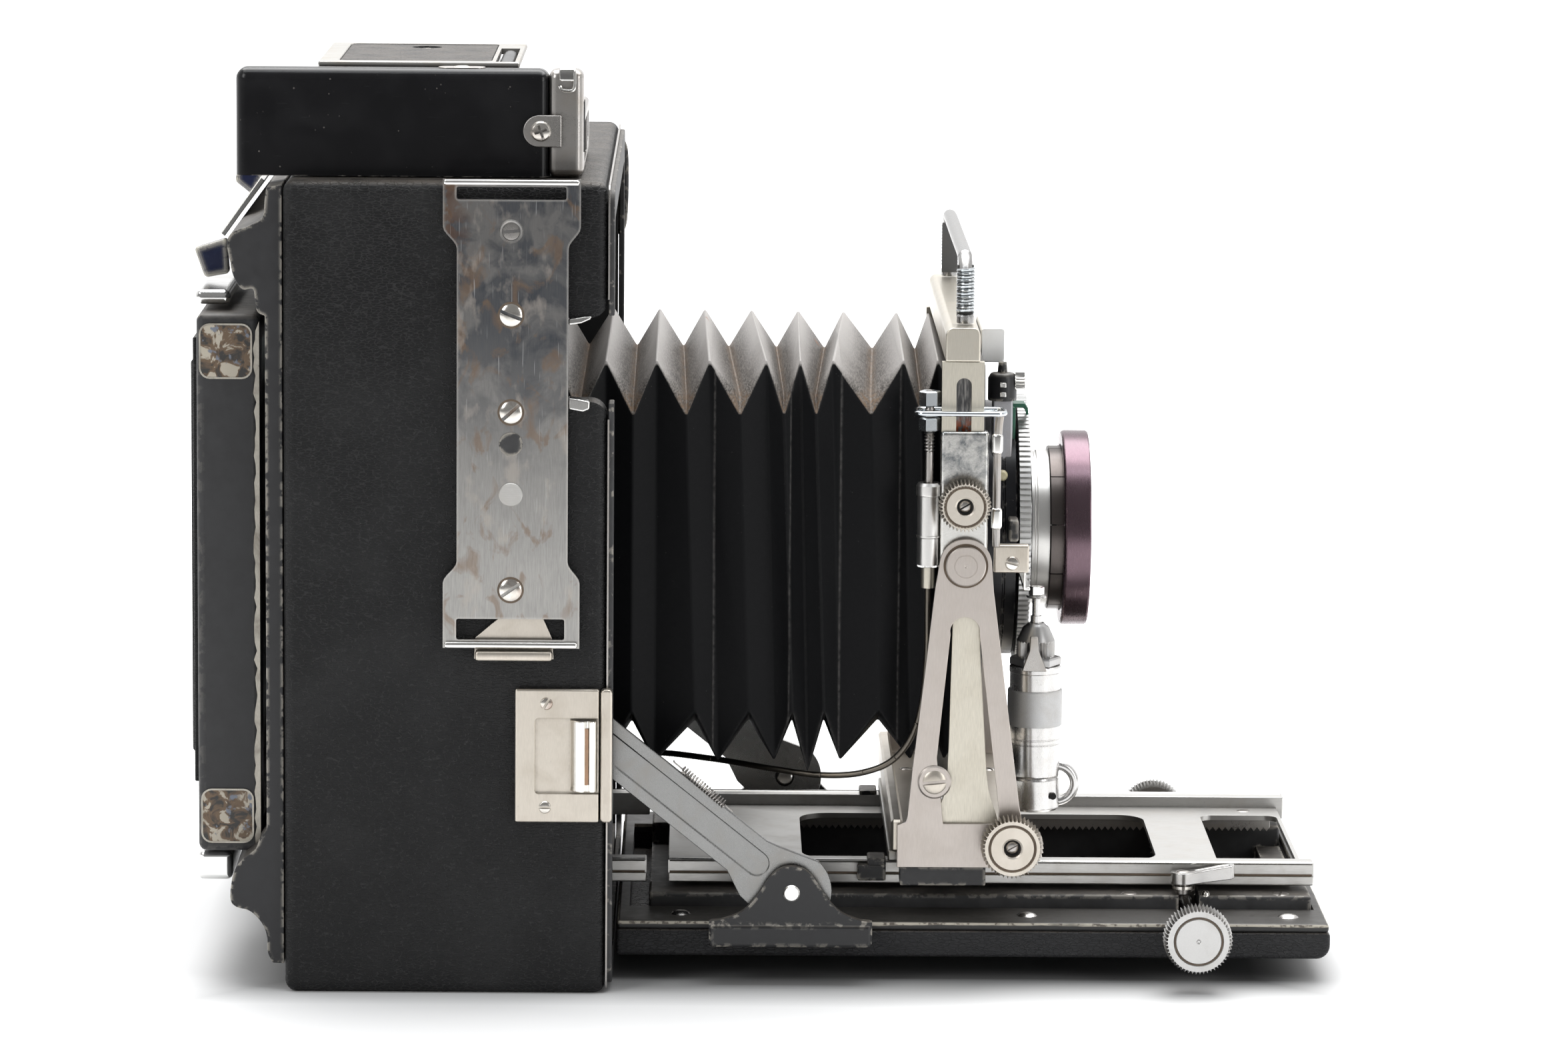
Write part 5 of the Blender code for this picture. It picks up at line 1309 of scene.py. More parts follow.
# ---- knobs --------------------------------------------------------------
def knob(node, teeth, groove, hub, depth, look, skirt=0.35, radius=0.0):
    """A toothed knob with a ring groove and a slotted hub screw, or a dimple when hub is 0."""
    low, high = span(node)
    middle = (low + high) / 2
    radius = radius or (high.x - low.x) / 2
    side, axis = (1, "far") if middle.y > 0 else (-1, "near")
    height = high.y - low.y
    at = (middle.x, low.y if side > 0 else high.y, middle.z)
    profile = [(0, 0), (radius * 0.5, 0), (radius * 0.5, height * 0.2), (radius - skirt, height * 0.2, 1),
               (radius, height * 0.27, 1), (radius, height * 0.88, 1), (radius - skirt, height - 0.1, 1),
               (radius - skirt - 0.5, height), (groove + 0.35, height), (groove + 0.15, height - 0.3),
               (groove - 0.15, height - 0.3), (groove - 0.35, height)]
    if hub:
        profile += [(hub + 0.5, height), (hub + 0.1, height - 0.3), (hub, height * 0.72), (0, height * 0.72)]
    else:
        profile += [(0.62, height), (0.45, height - 0.12), (0.3, height + 0.02), (0, height - 0.1)]
    place(turned(node + "_body", profile, at, axis, 96, teeth, depth), look, node, replace=True,
          smooth=28)
    # painted shade: a darker ring on the knob's inner face
    ring(node + "_back", at, 1.4, radius - skirt - 0.9, height * 0.2 - 0.12, height * 0.2 + 0.1, STEEL, node,
         axis)
    ring(node + "_groove", at, groove - 0.15, groove + 0.15, height - 0.32, height - 0.24, BROWN_STAIN_AND_SHADE,
         node, axis)
    if not hub:
        return
    # painted shade: a dark disc on the floor of the hub's recess
    ring(node + "_hub_shade", at, 0, hub - 0.02, height * 0.72, height * 0.72 + 0.05, BLACK_AND_SHADE,
         node, axis)
    outward = Vector((0, side * height * 0.76, 0))
    screw(node + "_screw", Vector(at) + outward, hub * 0.72, 30 if side < 0 else 80, node, axis, STEEL,
          rise=0.35, slot=0.35)


# ---- front standard -----------------------------------------------------
def standard_base():
    """The carriage with its upright wall, dark blocks at its sides as painted shade, and the slides above
    it.
    """
    (x0, y0, z0), (x1, y1, z1) = span("carriage")
    base = join(box("carriage_block", (x0 + 1.7, y0, z0), (x1, y1, 27.0), 0.4, 3),
                box("wall", (x0, y0, z0), (x0 + 2.1, y1, z1), 0.4, 3))
    place(base, WALL_STEEL, "carriage", replace=True)
    for side, word in SIDES:
        # painted shade: dark blocks below the side plates' feet, where the rail lies in shadow
        foot_shade_block = side_box("carriage_foot_shade_" + word, side, (106.8, 127.2), (51.0, 58.8), (21.2, 25.9), 0.3)
        place(foot_shade_block, WORN_BLACK, "carriage")
    refined("cross_slide", STEEL, 0.25, 3)
    refined("swing_yoke", NICKEL, 0.4, 3)
    for k, (x, y) in enumerate(((111.0, -36.0), (111.0, 36.0), (132.0, -36.0), (132.0, 36.0))):
        screw(f"carriage_screw_{k}", (x, y, 31.4), 1.8, 40 * k, "swing_yoke", "up", STEEL, rise=0.3)


def side_plates():
    """The A-shaped side plates with a brushed inner tongue seen in the cut-out."""
    legs = ([(106.0, 26.0), (137.0, 26.0), (137.0, 36.4), (135.6, 37.6), (135.0, 40.6), (130.5, 74.6),
             (128.2, 92.6)] + arc(121.5, 98.9, 6.2, 8, 172, 28)
            + [(114.3, 93.2), (112.3, 74.6), (109.5, 50.2), (108.4, 38.4), (108.0, 37.0), (106.0, 36.2)])
    window = ([(116.9, 36.6), (115.2, 52.5), (118.1, 82.2)] + arc(121.5, 82.9, 3.5, 176, 4, 16)
              + [(125.0, 82.2), (130.1, 39.8), (130.0, 36.6)])
    eye = arc(*PIVOT, 3.6, 0, 351, 39)
    tongue_line = ([(113.2, 33.0), (114.2, 37.0)] + curved([(115.0, 38.6), (117.2, 44.0), (117.9, 52.0),
                                                             (118.1, 62.0), (118.5, 82.0)], 16)
                   + [(118.8, 92.0), (124.6, 92.0)] + curved([(125.0, 82.0), (126.4, 60.0),
                                                              (127.4, 46.0), (129.6, 38.6)], 16)
                   + [(130.2, 36.6), (130.6, 33.0)])
    for side, word in SIDES:
        host = "side_plate_" + word
        place(plate("a_plate_" + word, [legs, window, eye], "XZ", *y_span(side, 59.4, 60.6)),
              PLATE_NICKEL, host, replace=True, bevel=0.25, segments=3)
        place(plate("tongue_" + word, [tongue_line], "XZ", *y_span(side, 58.6, 59.38)), TONGUE, host,
              bevel=0.15)
        ear = turned("plate_ear_" + word, [(0, 0), (4.0, 0), (4.0, 0.25), (3.6, 0.55), (0, 0.55)],
                     (114.7, side * 60.6, 46.7), word)
        place(ear, PLATE_NICKEL, host)
        screw("ear_screw_" + word, (114.7, side * 61.1, 46.7), 2.9, 6, host, word, NICKEL, rise=0.6,
              slot=0.8)
        disc = turned("pivot_disc_" + word, [(0, -0.2), (0.25, 0.0), (0.4, 0.1), (2.55, 0.1), (2.6, 0.03),
                                             (2.75, 0.03), (2.8, 0.1), (4.5, 0.1), (4.75, -0.1),
                                             (4.75, -0.7), (0, -0.7)],
                      (PIVOT[0], side * 61.5, PIVOT[1]), word, 72)
        place(disc, PLATE_NICKEL, "tilt_frame")
        # painted shade: a brown ring round the pivot disc
        ring("pivot_shade_" + word, (PIVOT[0], side * 60.6, PIVOT[1]), 4.7, 5.3, 0, 0.06,
             BROWN_STAIN_AND_SHADE, host, word)


def tilt_frame():
    """The U that tilts the lens: a low bar, two legs and two square sleeves."""
    bars = box("tilt_bar", (116.6, -58.0, 39.6), (125.4, 58.0, 42.4), 0.3)
    halves = []
    for side, _ in SIDES:
        sleeve = side_box("sleeve", side, (115.3, 126.7), (53.9, 58.3), (88.0, 130.4), 0.9, 4)
        bore = side_box("bore", side, (115.7, 125.7), (54.6, 57.6), (60.0, 150.0))
        halves += [cut(sleeve, bore),
                   side_box("leg", side, (118.9, 124.2), (57.6, 58.3), (40.0, 89.0)),
                   cylinder("pivot", (PIVOT[0], side * 59.5, PIVOT[1]), 3.3, 2.6, "far")]
    place(join(bars, *halves), SLEEVE, "tilt_frame", replace=True)


def lens_standard():
    """The slotted posts, the top bar with its rounded ends and the ring plate."""
    bar_line = ([(116.2, 147.0), (124.4, 147.0)] + arc(122.5, 153.1, 1.9, 0, 90, 8)
                + arc(118.1, 153.1, 1.9, 90, 180, 8))
    place(plate("top_bar", [bar_line], "XZ", -58.2, 58.2), TOP_NICKEL, "lens_frame", replace=True,
          bevel=0.35, segments=3)
    ring_plate = plate("ring_plate", [rounded_rectangle(-53.4, 53.4, 50.0, 147.2, 2.5),
                                      rounded_rectangle(-38, 38, 61.0, 137.0, 4)], "YZ", 121.6, 123.8)
    place(ring_plate, NICKEL, "lens_frame", bevel=0.3, segments=3)
    for side, word in SIDES:
        post = plate("post_" + word, [[(118.9, 60.0), (124.9, 60.0), (125.5, 92.0), (125.5, 146.8),
                                       (115.5, 146.8), (115.5, 92.0), (118.9, 89.0)],
                                      [(118.9, 90.0), (122.5, 90.0)] + arc(120.7, 141.2, 1.8, 0, 180, 14)],
                     "XZ", *y_span(side, 54.9, 57.3))
        wing = side_box("wing", side, (121.7, 123.7), (50.5, 55.5), (144.8, 147.0))
        foot = side_box("foot", side, (121.7, 123.7), (50.5, 55.5), (60.0, 62.4))
        place(join(post, wing, foot), TONGUE, "lens_frame", bevel=0.3, segments=3)
        # painted shade: a dark sheet in the post's slot
        shade = side_box("post_shade_" + word, side, (118.4, 123.0), (54.8, 55.2), (91.0, 143.6))
        place(shade, SLOT_SHADE, "lens_frame")
    place(box("board_hook", (122.0, -13.0, 147.1), (126.0, 13.0, 149.3), 0.4, 3), NICKEL, "lens_frame")


def cable_clamp():
    """The clamp that holds the end of the release cable on the near post."""
    clamp = [(1.5, 98.4), (2.7, 98.4), (2.7, 104.8), (2.9, 105.0), (2.9, 105.4), (2.7, 105.5),
             (2.7, 114.8), (2.95, 115.0), (3.0, 115.3), (3.0, 117.3), (2.5, 118.0), (1.5, 118.0)]
    place(turned("cable_clamp", clamp, CLAMP), SATIN, "lens_frame")
    knurl = [(1.4, 97.9), (2.5, 97.9, 1), (2.6, 98.1, 1), (2.6, 100.3, 1), (2.4, 100.5, 1), (1.4, 100.5)]
    place(turned("clamp_ring", knurl, CLAMP, teeth=36, depth=0.28), CHROME, "lens_frame")
    place(turned("cable_ferrule", [(1.0, 92.8), (1.55, 92.8), (1.6, 93.0), (1.6, 97.8), (1.0, 97.8)],
                 CLAMP), TONGUE, "lens_frame")
    arm = join(box("clamp_arm", (112.7, -53.7, 98.0), (118.0, -52.9, 117.0), 0.2),
               box("arm_end", (112.1, -55.0, 100.0), (113.9, -52.9, 117.0)))
    place(arm, STEEL, "lens_frame")


def lens_board():
    """The painted board round the lens's hole."""
    place(plate("lens_board_plate", [rounded_rectangle(-47, 47, 53.0, 145.0, 3.0),
                                     arc(*LENS_AXIS[1:], 21.0, 0, 354, 59)], "YZ", 124.1, 126.2), BOARD,
          "lens_board", replace=True, bevel=0.5, segments=3)


def bail_and_clip():
    """The spring-loaded loop on the top bar and the sliding board clip."""
    x, reach, top = 121.0, 51.0, 170.6
    bend = [(reach, 158.0), (reach, 163.4), (reach - 1.6, 167.6), (reach - 5.4, top - 0.5),
            (reach - 11.0, top)]
    near_leg = [(x, -y, z) for y, z in bend]
    far_leg = [(x, reach, 158.0), (x, reach, 166.6), (x, reach - 1.0, 169.6), (x, reach - 4.0, top)]
    loop = smooth_route(near_leg + [(x, 0, top)] + far_leg[::-1], 90)
    place(wire("carrying_loop", loop, 1.7, resolution=6), BAIL_CHROME, "top_bail", replace=True)
    for side, word in SIDES:
        coil = helix((x, side * reach, 157.9), (x, side * reach, 168.3), (1.85, 0, 0), (0, 1.85, 0), 13, 16)
        place(wire("loop_spring_" + word, coil, 0.36, resolution=2), NUT_STEEL, "top_bail")
        # painted shade: a dark core inside each spring, dark between its turns
        place(cylinder("loop_core_shade_" + word, (x, side * reach, 162.9), 1.84, 10.6, "up", 32), BLACK_AND_SHADE,
              "top_bail")
        socket = [(0, 155.4), (2.0, 155.4), (2.05, 155.6), (2.05, 157.0), (1.7, 157.5), (0, 157.5)]
        place(turned("loop_socket_" + word, socket, (x, side * reach, 0)), BAIL_CHROME, "top_bail")
        holder = side_box("holder", side, (x - 2.0, x + 2.0), (reach - 2.4, reach - 1.9), (156.4, 169.0))
        place(holder, HOLDER_STEEL, "top_bail", bevel=0.1)
    clip = plate("board_clip_front", [rounded_rectangle(126.3, 132.4, 141.4, 149.8, 1.1)], "XZ", -14, 14)
    place(clip, CLIP_SILVER, "board_latch", replace=True, bevel=0.4, segments=3)


# ---- lens and shutter ---------------------------------------------------
def on_lens(name, profile, look, host, replace=True, sides=96, **options):
    """A turned piece on the lens axis; heights in the profile are X places."""
    piece = turned(name, profile, LENS_AXIS, "front", sides)
    return place(piece, look, host, replace=replace, **options)


def shutter():
    """The shutter case and the toothed speed dial on its front."""
    on_lens("shutter_case", [(13.0, 118.0), (20.0, 118.0), (20.4, 126.3), (30.8, 126.3), (31.2, 126.7),
                             (31.2, 131.6), (30.9, 131.8), (30.9, 132.1), (31.2, 132.3), (31.2, 134.8),
                             (30.8, 135.2), (19.6, 135.2), (19.6, 139.0), (13.0, 139.0)], SHUTTER_BLACK,
            "shutter_body")
    rim, hole = cog_line(32.75, 0.9, 140, LENS_AXIS[1:]), arc(*LENS_AXIS[1:], 20.0, 0, 354, 59)
    dial = plate("dial_teeth", [rim, hole], "YZ", 135.60, 138.30)
    place(dial, DIAL_METAL, "speed_ring", replace=True)
    on_lens("dial_face", [(20.4, 138.30), (30.4, 138.30), (30.2, 138.50), (20.4, 138.50)], MATT_BLACK,
            "speed_ring", False)


def lens_front():
    """The barrel, the slotted ring, the filter ring, the glass and the shutter leaves."""
    on_lens("front_barrel", [(16.6, 139.30), (19.05, 139.30), (19.05, 140.00), (18.7, 140.20),
                             (18.7, 140.60), (19.05, 140.80), (19.05, 144.00), (17.2, 144.00),
                             (16.6, 143.00)], SATIN, "lens_barrel")
    segment = turned("slip_ring", [(17.6, 143.60), (19.9, 143.60), (20.1, 143.90), (20.1, 148.30),
                                   (19.9, 148.60), (17.6, 148.60)], LENS_AXIS, "front", 96)
    for k in range(10):
        slit = box("slit", (142, -0.14, 116.0), (150, 0.14, 125.0))
        segment = cut(segment, moved(slit, turn=36 * k + 8, axis="X", about=LENS_AXIS))
    place(segment, BROWN_BLACK, "lens_barrel", bevel=0.08)
    on_lens("filter_rim", [(20.5, 146.90), (23.3, 146.90), (23.7, 147.20), (23.9, 147.70), (23.9, 152.90),
                           (23.6, 153.40), (21.6, 153.40), (21.4, 153.20), (21.4, 149.20), (20.5, 149.20)],
            PURPLE, "filter_ring", sides=128)
    on_lens("lens_seat", [(14.8, 141.00), (17.4, 144.20), (17.4, 145.60), (16.8, 145.60), (14.8, 142.40)],
            MATT_BLACK, "lens_barrel", False)
    crown, bulge, rim = 145.4, 14.0 * 0.42, 16.2
    dome = [(rim * math.sin(math.radians(a)), crown - bulge * (1 - math.cos(math.radians(a))))
            for a in range(8, 91, 8)]
    dome = [(0, crown)] + dome + [(rim, 140.4), (0, 139.9)]
    on_lens("front_element", dome, LENS_GLASS, "front_glass", smooth=50)
    on_lens("shutter_leaves", [(0, 133.8), (12.7, 133.8), (12.7, 134.2), (0, 134.2)], BLACK_AND_SHADE,
            "shutter_blades")


def shutter_fittings():
    """The flash post and its pins, the ivory dot, the pointer and the cocking lever."""
    place(turned("sync_post", [(0, 0), (3.4, 0), (3.5, 0.3), (3.5, 5.4), (2.9, 6.4), (2.6, 6.6), (1.2, 6.8),
                               (1.0, 9.2), (0, 9.4)], (131.4, -21.0, 133.2)), WORN_GLOSS, "shutter_body")
    place(box("sync_stem", (129.0, -23.4, 116.0), (133.9, -18.6, 134.0), 0.5, 3), POST_GREY,
          "shutter_body")
    knurl = [(0, 0), (2.3, 0.0), (2.4, 0.2, 1), (2.4, 2.2, 1), (2.2, 2.4), (0, 2.4)]
    place(turned("sync_screw", knurl, (134.4, -21.0, 137.8), "front", teeth=18, depth=0.4), BRIGHT,
          "shutter_body")
    for k, z in enumerate((136.6, 134.3)):
        place(box(f"sync_pin_{k}", (130.6, -25.0, z), (132.2, -24.2, z + 1.2), 0.2), BRIGHT,
              "shutter_body")
    dot = turned("ivory_dot", [(0, 0.8), (0.9, 0.6), (1.3, 0.0), (1.3, -0.6), (0, -0.6)],
                 (131.4, -27.2, 115.6), "near", 40)
    place(dot, IVORY, "shutter_body")
    hook = plate("pointer_hook", [[(133.5, 130.3), (134.4, 130.3), (134.6, 131.0), (136.6, 131.0),
                                   (137.2, 130.2), (137.4, 129.2), (138.0, 129.2), (137.8, 130.9),
                                   (137.0, 132.0), (134.2, 132.0), (133.5, 131.2)]], "XZ", -18.6, -13.0)
    place(hook, GREEN, "aperture_pointer", replace=True, bevel=0.15)
    place(box("pointer_tab", (133.5, -19.4, 122.4), (134.8, -18.0, 131.2), 0.3, 3), GREEN,
          "aperture_pointer")
    refined("cocking_lever", WORN_BLACK, 0.4, 3)


def flash_solenoid():
    """The electric release: nut, cone, knurl, hexagon, case and ring hook."""
    at = SOLENOID
    parts = (
        ("case", [(0, 44.2), (6.1, 44.2), (6.15, 44.5), (6.15, 51.8), (6.0, 51.9), (6.0, 52.1),
                  (6.15, 52.2), (6.15, 53.0), (6.0, 53.1), (6.0, 53.3), (6.15, 53.4), (6.15, 56.4),
                  (0, 56.4)], SOLENOID_METAL, 64, 0, 0),
        ("collar", [(0, 56.4), (6.5, 56.4), (6.6, 56.7), (6.6, 64.8), (6.4, 65.1), (0, 65.1)],
         MATT_METAL, 64, 0, 0),
        ("neck", [(0, 65.1), (6.1, 65.1), (6.1, 69.2), (6.25, 69.4), (6.25, 70.6), (5.9, 70.9), (0, 70.9)],
         SOLENOID_METAL, 64, 0, 0),
        ("knurl", [(0, 73.0), (4.5, 73.0), (4.6, 73.4, 1), (4.65, 76.6, 1), (4.6, 77.0), (3.1, 80.2),
                   (2.2, 80.8), (2.0, 81.2), (0, 81.2)], KNURL_METAL, 64, 30, 0.5),
        ("cap", [(0, 35.7), (5.5, 35.7), (6.1, 36.3), (6.15, 36.6), (6.15, 43.2), (6.0, 43.4), (5.9, 43.8),
                 (6.1, 44.2), (0, 44.2)], SOLENOID_METAL, 64, 0, 0),
        ("stem", [(0, 81.0), (1.35, 81.0), (1.35, 82.9), (0, 82.9)], SOLENOID_METAL, 32, 0, 0))
    for name, profile, look, sides, teeth, depth in parts:
        piece = turned("solenoid_" + name, profile, at, "up", sides, teeth, depth)
        place(piece, look, "solenoid", replace=name == "case")
    hexagon = turned("solenoid_hexagon", [(0, 70.9), (5.9, 70.9), (6.2, 71.2), (6.2, 72.6), (5.9, 73.0),
                                          (0, 73.0)], at, "up", 6)
    place(hexagon, KNURL_METAL, "solenoid", smooth=10)
    facet = plate("solenoid_facet", [[(136.0, 70.3), (142.0, 70.3), (140.0, 75.4), (139.8, 78.6),
                                      (138.0, 78.6), (137.8, 75.4)]], "XZ", -42.5, -40.6)
    place(facet, STEEL, "solenoid", bevel=0.2)
    # painted shade: a dark disc for the hole in the cap
    cap_hole = cylinder("solenoid_hole", (144.0, -40.6, 39.6), 0.8, 1.4, "near", 24)
    place(cap_hole, BLACK_AND_SHADE, "solenoid")
    loop = [(145.0 + 4.45 * math.cos(t), at[1], 41.9 + 4.45 * math.sin(t))
            for t in (2 * math.pi * i / 48 for i in range(48))]
    place(wire("solenoid_ring", loop, 1.15, closed=True, resolution=5), SOLENOID_METAL, "solenoid")


def plunger():
    """The release's rod with the nut on its end."""
    at = SOLENOID
    rod = [(0, 77.0), (1.0, 77.0), (1.0, 87.2), (2.3, 87.3), (2.5, 87.6), (2.3, 87.9), (1.5, 88.0),
           (0, 88.0)]
    place(turned("plunger_rod", rod, at, "up", 40), SOLENOID_METAL, "solenoid_plunger", replace=True)
    nut = turned("plunger_nut", [(0, 87.9), (1.7, 87.9), (1.85, 88.1), (1.85, 89.8), (1.6, 90.0),
                                 (0, 90.0)], at, "up", 6)
    place(nut, BRIGHT, "solenoid_plunger", smooth=10)


def release_nuts():
    """Two hexagon nuts on a thread above the clamp."""
    at = CLAMP
    for name, low, high in (("low", 130.3, 133.5), ("high", 136.2, 139.9)):
        nut = turned("release_nut_" + name, [(0, low), (2.2, low), (2.6, low + 0.3), (2.6, high - 0.3),
                                             (2.2, high), (0, high)], at, "up", 6)
        place(moved(nut, turn=8, axis="Z", about=at), NUT_STEEL, "release_rod", replace=name == "low",
              smooth=10)
    thread = [(0, 101.2), (1.05, 101.2), (1.05, 125.2)]
    for k in range(13):
        thread += [(0.95, 125.4 + k * 0.8), (1.3, 125.8 + k * 0.8)]
    thread += [(1.0, 135.9), (0.9, 140.0), (0, 140.2)]
    place(turned("release_thread", thread, at, "up", 32), STEEL, "release_rod")


def release_link():
    """The wire loop, its down rod with two clips, and the bracket with its toe."""
    loop_line = [(lx, ly, 134.9) for lx, ly in rounded_rectangle(109.4, 130.3, -60.5, -52.2, 2.0, 6)]
    place(wire("release_loop", loop_line, 0.62, closed=True, resolution=5), BLUE_CHROME, "release_link",
          replace=True)
    place(wire("release_down_rod", [(129.4, -57.4, 135.0), (129.0, -57.4, 132.0), (128.7, -57.2, 126.0),
                                    (128.7, -57.2, 103.0)], 0.95, resolution=5), STEEL, "release_link")
    for k, (low, high) in enumerate(((125.0, 130.0), (107.0, 112.3))):
        clip = box(f"rod_clip_{k}", (127.4, -58.7, low), (130.0, -56.0, high), 0.9, 4)
        place(clip, BRIGHT, "release_link")
    bracket = box("link_bracket", (128.2, -57.4, 96.6), (136.6, -56.2, 103.0), 0.5, 3)
    bracket = join(bracket, box("fold", (128.2, -57.4, 102.0), (136.6, -54.2, 103.2), 0.4, 3))
    place(bracket, NICKEL, "release_link")
    screw("link_screw", (132.6, -57.4, 98.9), 1.7, -15, "release_link", look=RUSTY_SCREW, rise=0.5)
    toe = box("link_toe", (135.4, -56.2, 92.2), (136.0, -54.6, 97.0), 0.2)
    toe = join(toe, box("toe_foot", (135.4, -56.2, 92.2), (137.0, -34.6, 92.9), 0.2))
    place(toe, BRIGHT, "release_link")


CABLE_ROUTE = [(12.6, 0.0, 12.4), (13.0, 0.0, 21.0), (18.0, -1.0, 32.0), (30.0, -6.0, 41.0),
               (46.0, -17.0, 45.2), (62.0, -31.0, 46.4), (76.0, -42.0, 46.2), (88.0, -49.0, 46.0),
               (98.0, -52.6, 47.4), (105.6, -54.4, 51.4), (110.6, -55.6, 60.0), (112.6, -56.2, 74.0),
               (112.7, -56.4, 88.0), (112.7, -56.4, 96.6)]
CABLE_CHAIN = (("camera_body", "drop_bed", 4), ("drop_bed", "track", 5),
               ("track", "standard_carriage", 7), ("standard_carriage", "shift_plate", 8),
               ("shift_plate", "swing_base", 9), ("swing_base", "tilt_u", 10),
               ("tilt_u", "lens_carrier", 13))


def cable():
    """The spring sheath of the release cable, one ridge for every turn of its wire."""
    spans = len(CABLE_ROUTE) - 1
    per_span = 50
    centre = smooth_route(CABLE_ROUTE, spans * per_span)
    start = 0
    for k, (before, after, stop) in enumerate(CABLE_CHAIN):
        points = centre[start * per_span:stop * per_span + 1]
        curve = poly_curve(f"cable_{k}", [points], False)
        curve.bevel_depth = MM
        curve.bevel_resolution = 2
        curve.use_fill_caps = True
        for i, point in enumerate(curve.splines[0].points):
            point.radius = 0.82 if i % 2 else 0.70
        part = settle(linked(f"cable_{k}", curve))
        part.data.materials.append(CABLE_STEEL)
        part.data.shade_smooth()
        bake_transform(part)
        if k == 0:
            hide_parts("cable_release")
        start = stop


make_camera()
make_studio()

LEATHER = leather_look("leatherette")
GLOSS_BLACK = gloss_paint_look("black_gloss_paint")
MATT_BLACK = matt_paint_look("black_paint")
WORN_BLACK = matt_paint_look("worn_black_paint", (0.022, 0.022, 0.023), 1.1)
WORN_GLOSS = matt_paint_look("worn_gloss_paint", (0.008, 0.008, 0.009), 0.9, 0.34)
CASTING = matt_paint_look("grey_casting", (0.010, 0.010, 0.0112), 1.15)
PANEL = matt_paint_look("spring_panel_paint", (0.014, 0.014, 0.015), 1.0)
BOARD = matt_paint_look("lens_board_paint", (0.016, 0.016, 0.016), 0.3, 0.5)
RIM = rim_look()
WORN_PAD = worn_pad_look()
CREAM = metal_look("cream_wear", (0.52, 0.49, 0.43), 0.5, (1, 1, 4), 0.4, 0.7, (0.10, 0.08, 0.06))
# black inner paint and shutter leaves, and painted shade in holes, recesses and spring coils
BLACK_AND_SHADE = matt_paint_look("black_and_shade", (0.006, 0.006, 0.006), 0.0, 0.7)
NICKEL = metal_look("warm_nickel", (0.62, 0.57, 0.50), 0.34, (1, 1, 9), 0.22, 0.25)
PLATE_NICKEL = metal_look("plate_nickel", (0.525, 0.478, 0.442), 0.36, (1.5, 1, 12), 0.16, 0.12)
TONGUE = metal_look("brushed_tongue", (0.68, 0.64, 0.55), 0.40, (1, 1, 16), 0.38, 0.16,
                    (0.42, 0.36, 0.26))
TOP_NICKEL = metal_look("top_bar_nickel", (0.66, 0.62, 0.54), 0.32, (1, 1, 14), 0.20, 0.16,
                        (0.40, 0.30, 0.18))
SATIN = metal_look("satin_plate", (0.72, 0.71, 0.69), 0.30, (5, 1, 1), 0.12, 0.1)
CHROME = metal_look("chrome", (0.80, 0.80, 0.79), 0.13, (1, 1, 1), 0.05, 0.2)
BRIGHT = metal_look("bright_metal", (0.86, 0.85, 0.82), 0.10, (1, 1, 1), 0.05, 0.12)
BLUE_CHROME = metal_look("blue_chrome", (0.70, 0.75, 0.80), 0.10, (1, 1, 1), 0.05, 0.14)
SOLENOID_METAL = metal_look("solenoid_nickel", (0.66, 0.65, 0.64), 0.24, (1, 1, 5), 0.12, 0.15)
STRUT_STEEL = metal_look("strut_steel", (0.27, 0.27, 0.265), 0.26, (1, 1, 1), 0.12, 0.2)
HOLDER_STEEL = metal_look("holder_steel", (0.22, 0.22, 0.22), 0.35, (1, 1, 4), 0.2, 0.3)
SHUTTER_BLACK = gloss_paint_look("shutter_enamel", (0.006, 0.006, 0.008))
BAIL_CHROME = metal_look("bail_chrome", (0.34, 0.335, 0.33), 0.26, (1, 1, 1), 0.05, 0.15)
DIAL_METAL = metal_look("dial_metal", (0.84, 0.84, 0.83), 0.40, (1, 1, 1), 0.05, 0.15)
KNURL_METAL = metal_look("knurl_nickel", (0.46, 0.455, 0.45), 0.30, (1, 1, 5), 0.12, 0.3)
CLIP_SILVER = metal_look("clip_silver", (0.93, 0.93, 0.92), 0.5, (1, 1, 5), 0.05, 0.1)
POST_GREY = metal_look("post_grey", (0.40, 0.40, 0.42), 0.42, (1, 1, 3), 0.2, 0.4)
NUT_STEEL = metal_look("nut_steel", (0.55, 0.58, 0.60), 0.24, (1, 1, 4), 0.15, 0.2)
KNOB_SILVER = metal_look("knob_silver", (0.60, 0.595, 0.585), 0.42, (1, 1, 1), 0.15, 0.8,
                         (0.50, 0.49, 0.47))
KNOB_NICKEL = metal_look("knob_nickel", (0.66, 0.61, 0.54), 0.36, (1, 1, 1), 0.15, 0.8,
                         (0.52, 0.47, 0.40))
WALL_STEEL = metal_look("carriage_steel", (0.34, 0.33, 0.31), 0.36, (1, 1, 1), 0.2, 0.6)
FINDER_FRAME = metal_look("finder_frame_metal", (0.40, 0.39, 0.37), 0.42, (1, 1, 1), 0.25, 0.5)
BED_LEATHER = leather_look("bed_leatherette", base=0.018)
LEVER_METAL = metal_look("lever_metal", (0.50, 0.49, 0.48), 0.22, (1, 1, 1), 0.08, 0.3)
SLEEVE = sleeve_look()
ALUMINIUM = metal_look("rail_aluminium", (0.60, 0.59, 0.57), 0.34, (14, 1, 1), 0.25, 0.22)
MATT_METAL = metal_look("matt_collar", (0.60, 0.60, 0.60), 0.55, (1, 1, 1), 0.30, 0.25)
STEEL = metal_look("plain_steel", (0.45, 0.43, 0.41), 0.28, (1, 1, 1), 0.15, 0.4)
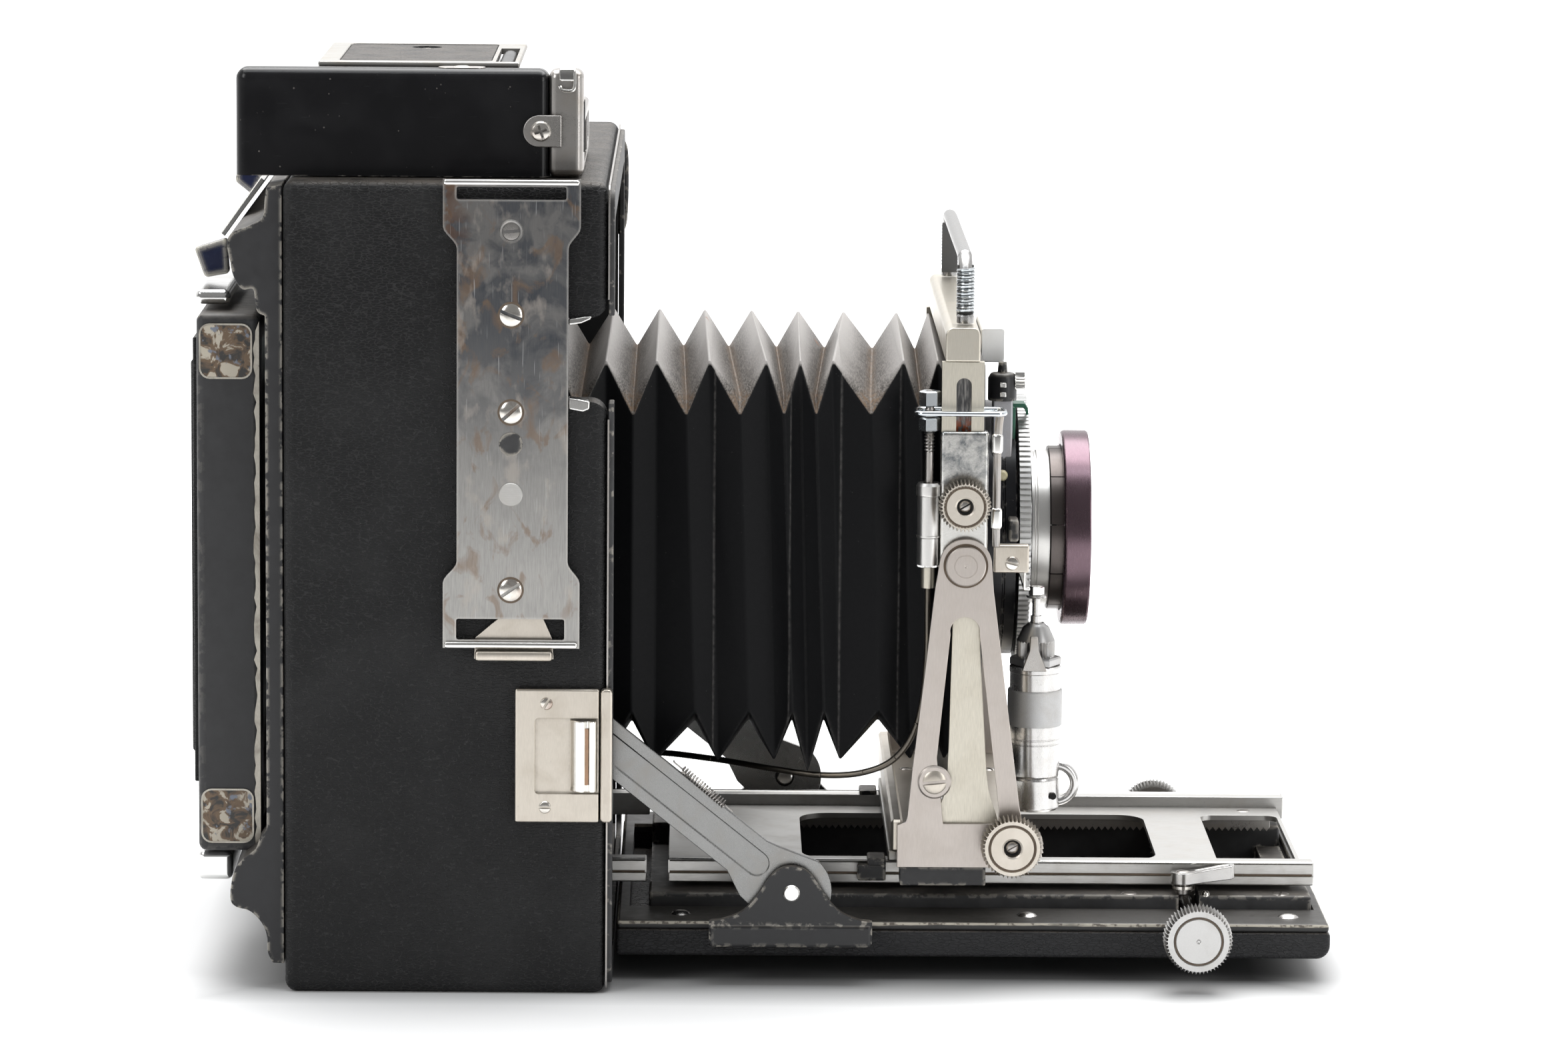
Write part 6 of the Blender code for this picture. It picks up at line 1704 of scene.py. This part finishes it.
RUSTY_SCREW = metal_look("rusty_screw", (0.72, 0.69, 0.64), 0.18, (1, 1, 1), 0.10, 0.95,
                         (0.20, 0.09, 0.045))
CABLE_STEEL = metal_look("cable_steel", (0.15, 0.135, 0.115), 0.34, (1, 1, 1), 0.2, 0.5)
STRAP = strap_look()
COPPER = metal_look("worn_copper", (0.42, 0.26, 0.17), 0.35, (1, 1, 5), 0.3, 0.5)
# brown stains and grime, and painted shade round the pivot discs
BROWN_STAIN_AND_SHADE = matt_paint_look("brown_stain_and_shade", (0.085, 0.06, 0.04), 0.0, 0.6)
SLOT_SHADE = slot_shade_look()
NAVY = navy_look()
BELLOWS = bellows_look()
PURPLE = metal_look("purple_ring", (0.155, 0.105, 0.125), 0.26, (1, 8, 8), 0.18, 0.2, (0.09, 0.07, 0.075))
BROWN_BLACK = metal_look("brown_black_ring", (0.115, 0.10, 0.095), 0.30, (1, 6, 6), 0.2, 0.3,
                         (0.06, 0.05, 0.045))
DARK_GLASS = glass_look("finder_glass", (0.02, 0.024, 0.028), 0.06)
LENS_GLASS = glass_look("coated_glass", (0.018, 0.016, 0.034), 0.03)
FROSTED = glass_look("focusing_screen", (0.40, 0.44, 0.43), 0.45)
IVORY = plastic_look("ivory_plastic", (0.52, 0.47, 0.30), 0.35)
GREEN = plastic_look("green_enamel", (0.006, 0.085, 0.045), 0.32)

body_casing()
refined("front_trim", MATT_BLACK, 0.25)
flash_strap()
release_group()
finder_case()
finder_front()
finder_top()
back_casting()
spring_panel()
screen_and_cover()
back_catch()
bellows()
bed()
track()
lock_and_stops()
for side, word in SIDES:
    strut(side, word)
    strut_spring(side, word)
    bed_bracket(side, word)
for _, word in SIDES:
    knob("focus_knob_" + word, 54, 5.6, 0, 1.1, KNOB_SILVER)
    knob("base_knob_" + word, 44, 5.4, 2.0, 1.2, KNOB_NICKEL)
    knob("rise_knob_" + word, 40, 4.7, 1.9, 1.1, KNOB_NICKEL, radius=6.2)
standard_base()
side_plates()
tilt_frame()
lens_standard()
cable_clamp()
lens_board()
bail_and_clip()
shutter()
lens_front()
shutter_fittings()
flash_solenoid()
plunger()
release_nuts()
release_link()
cable()
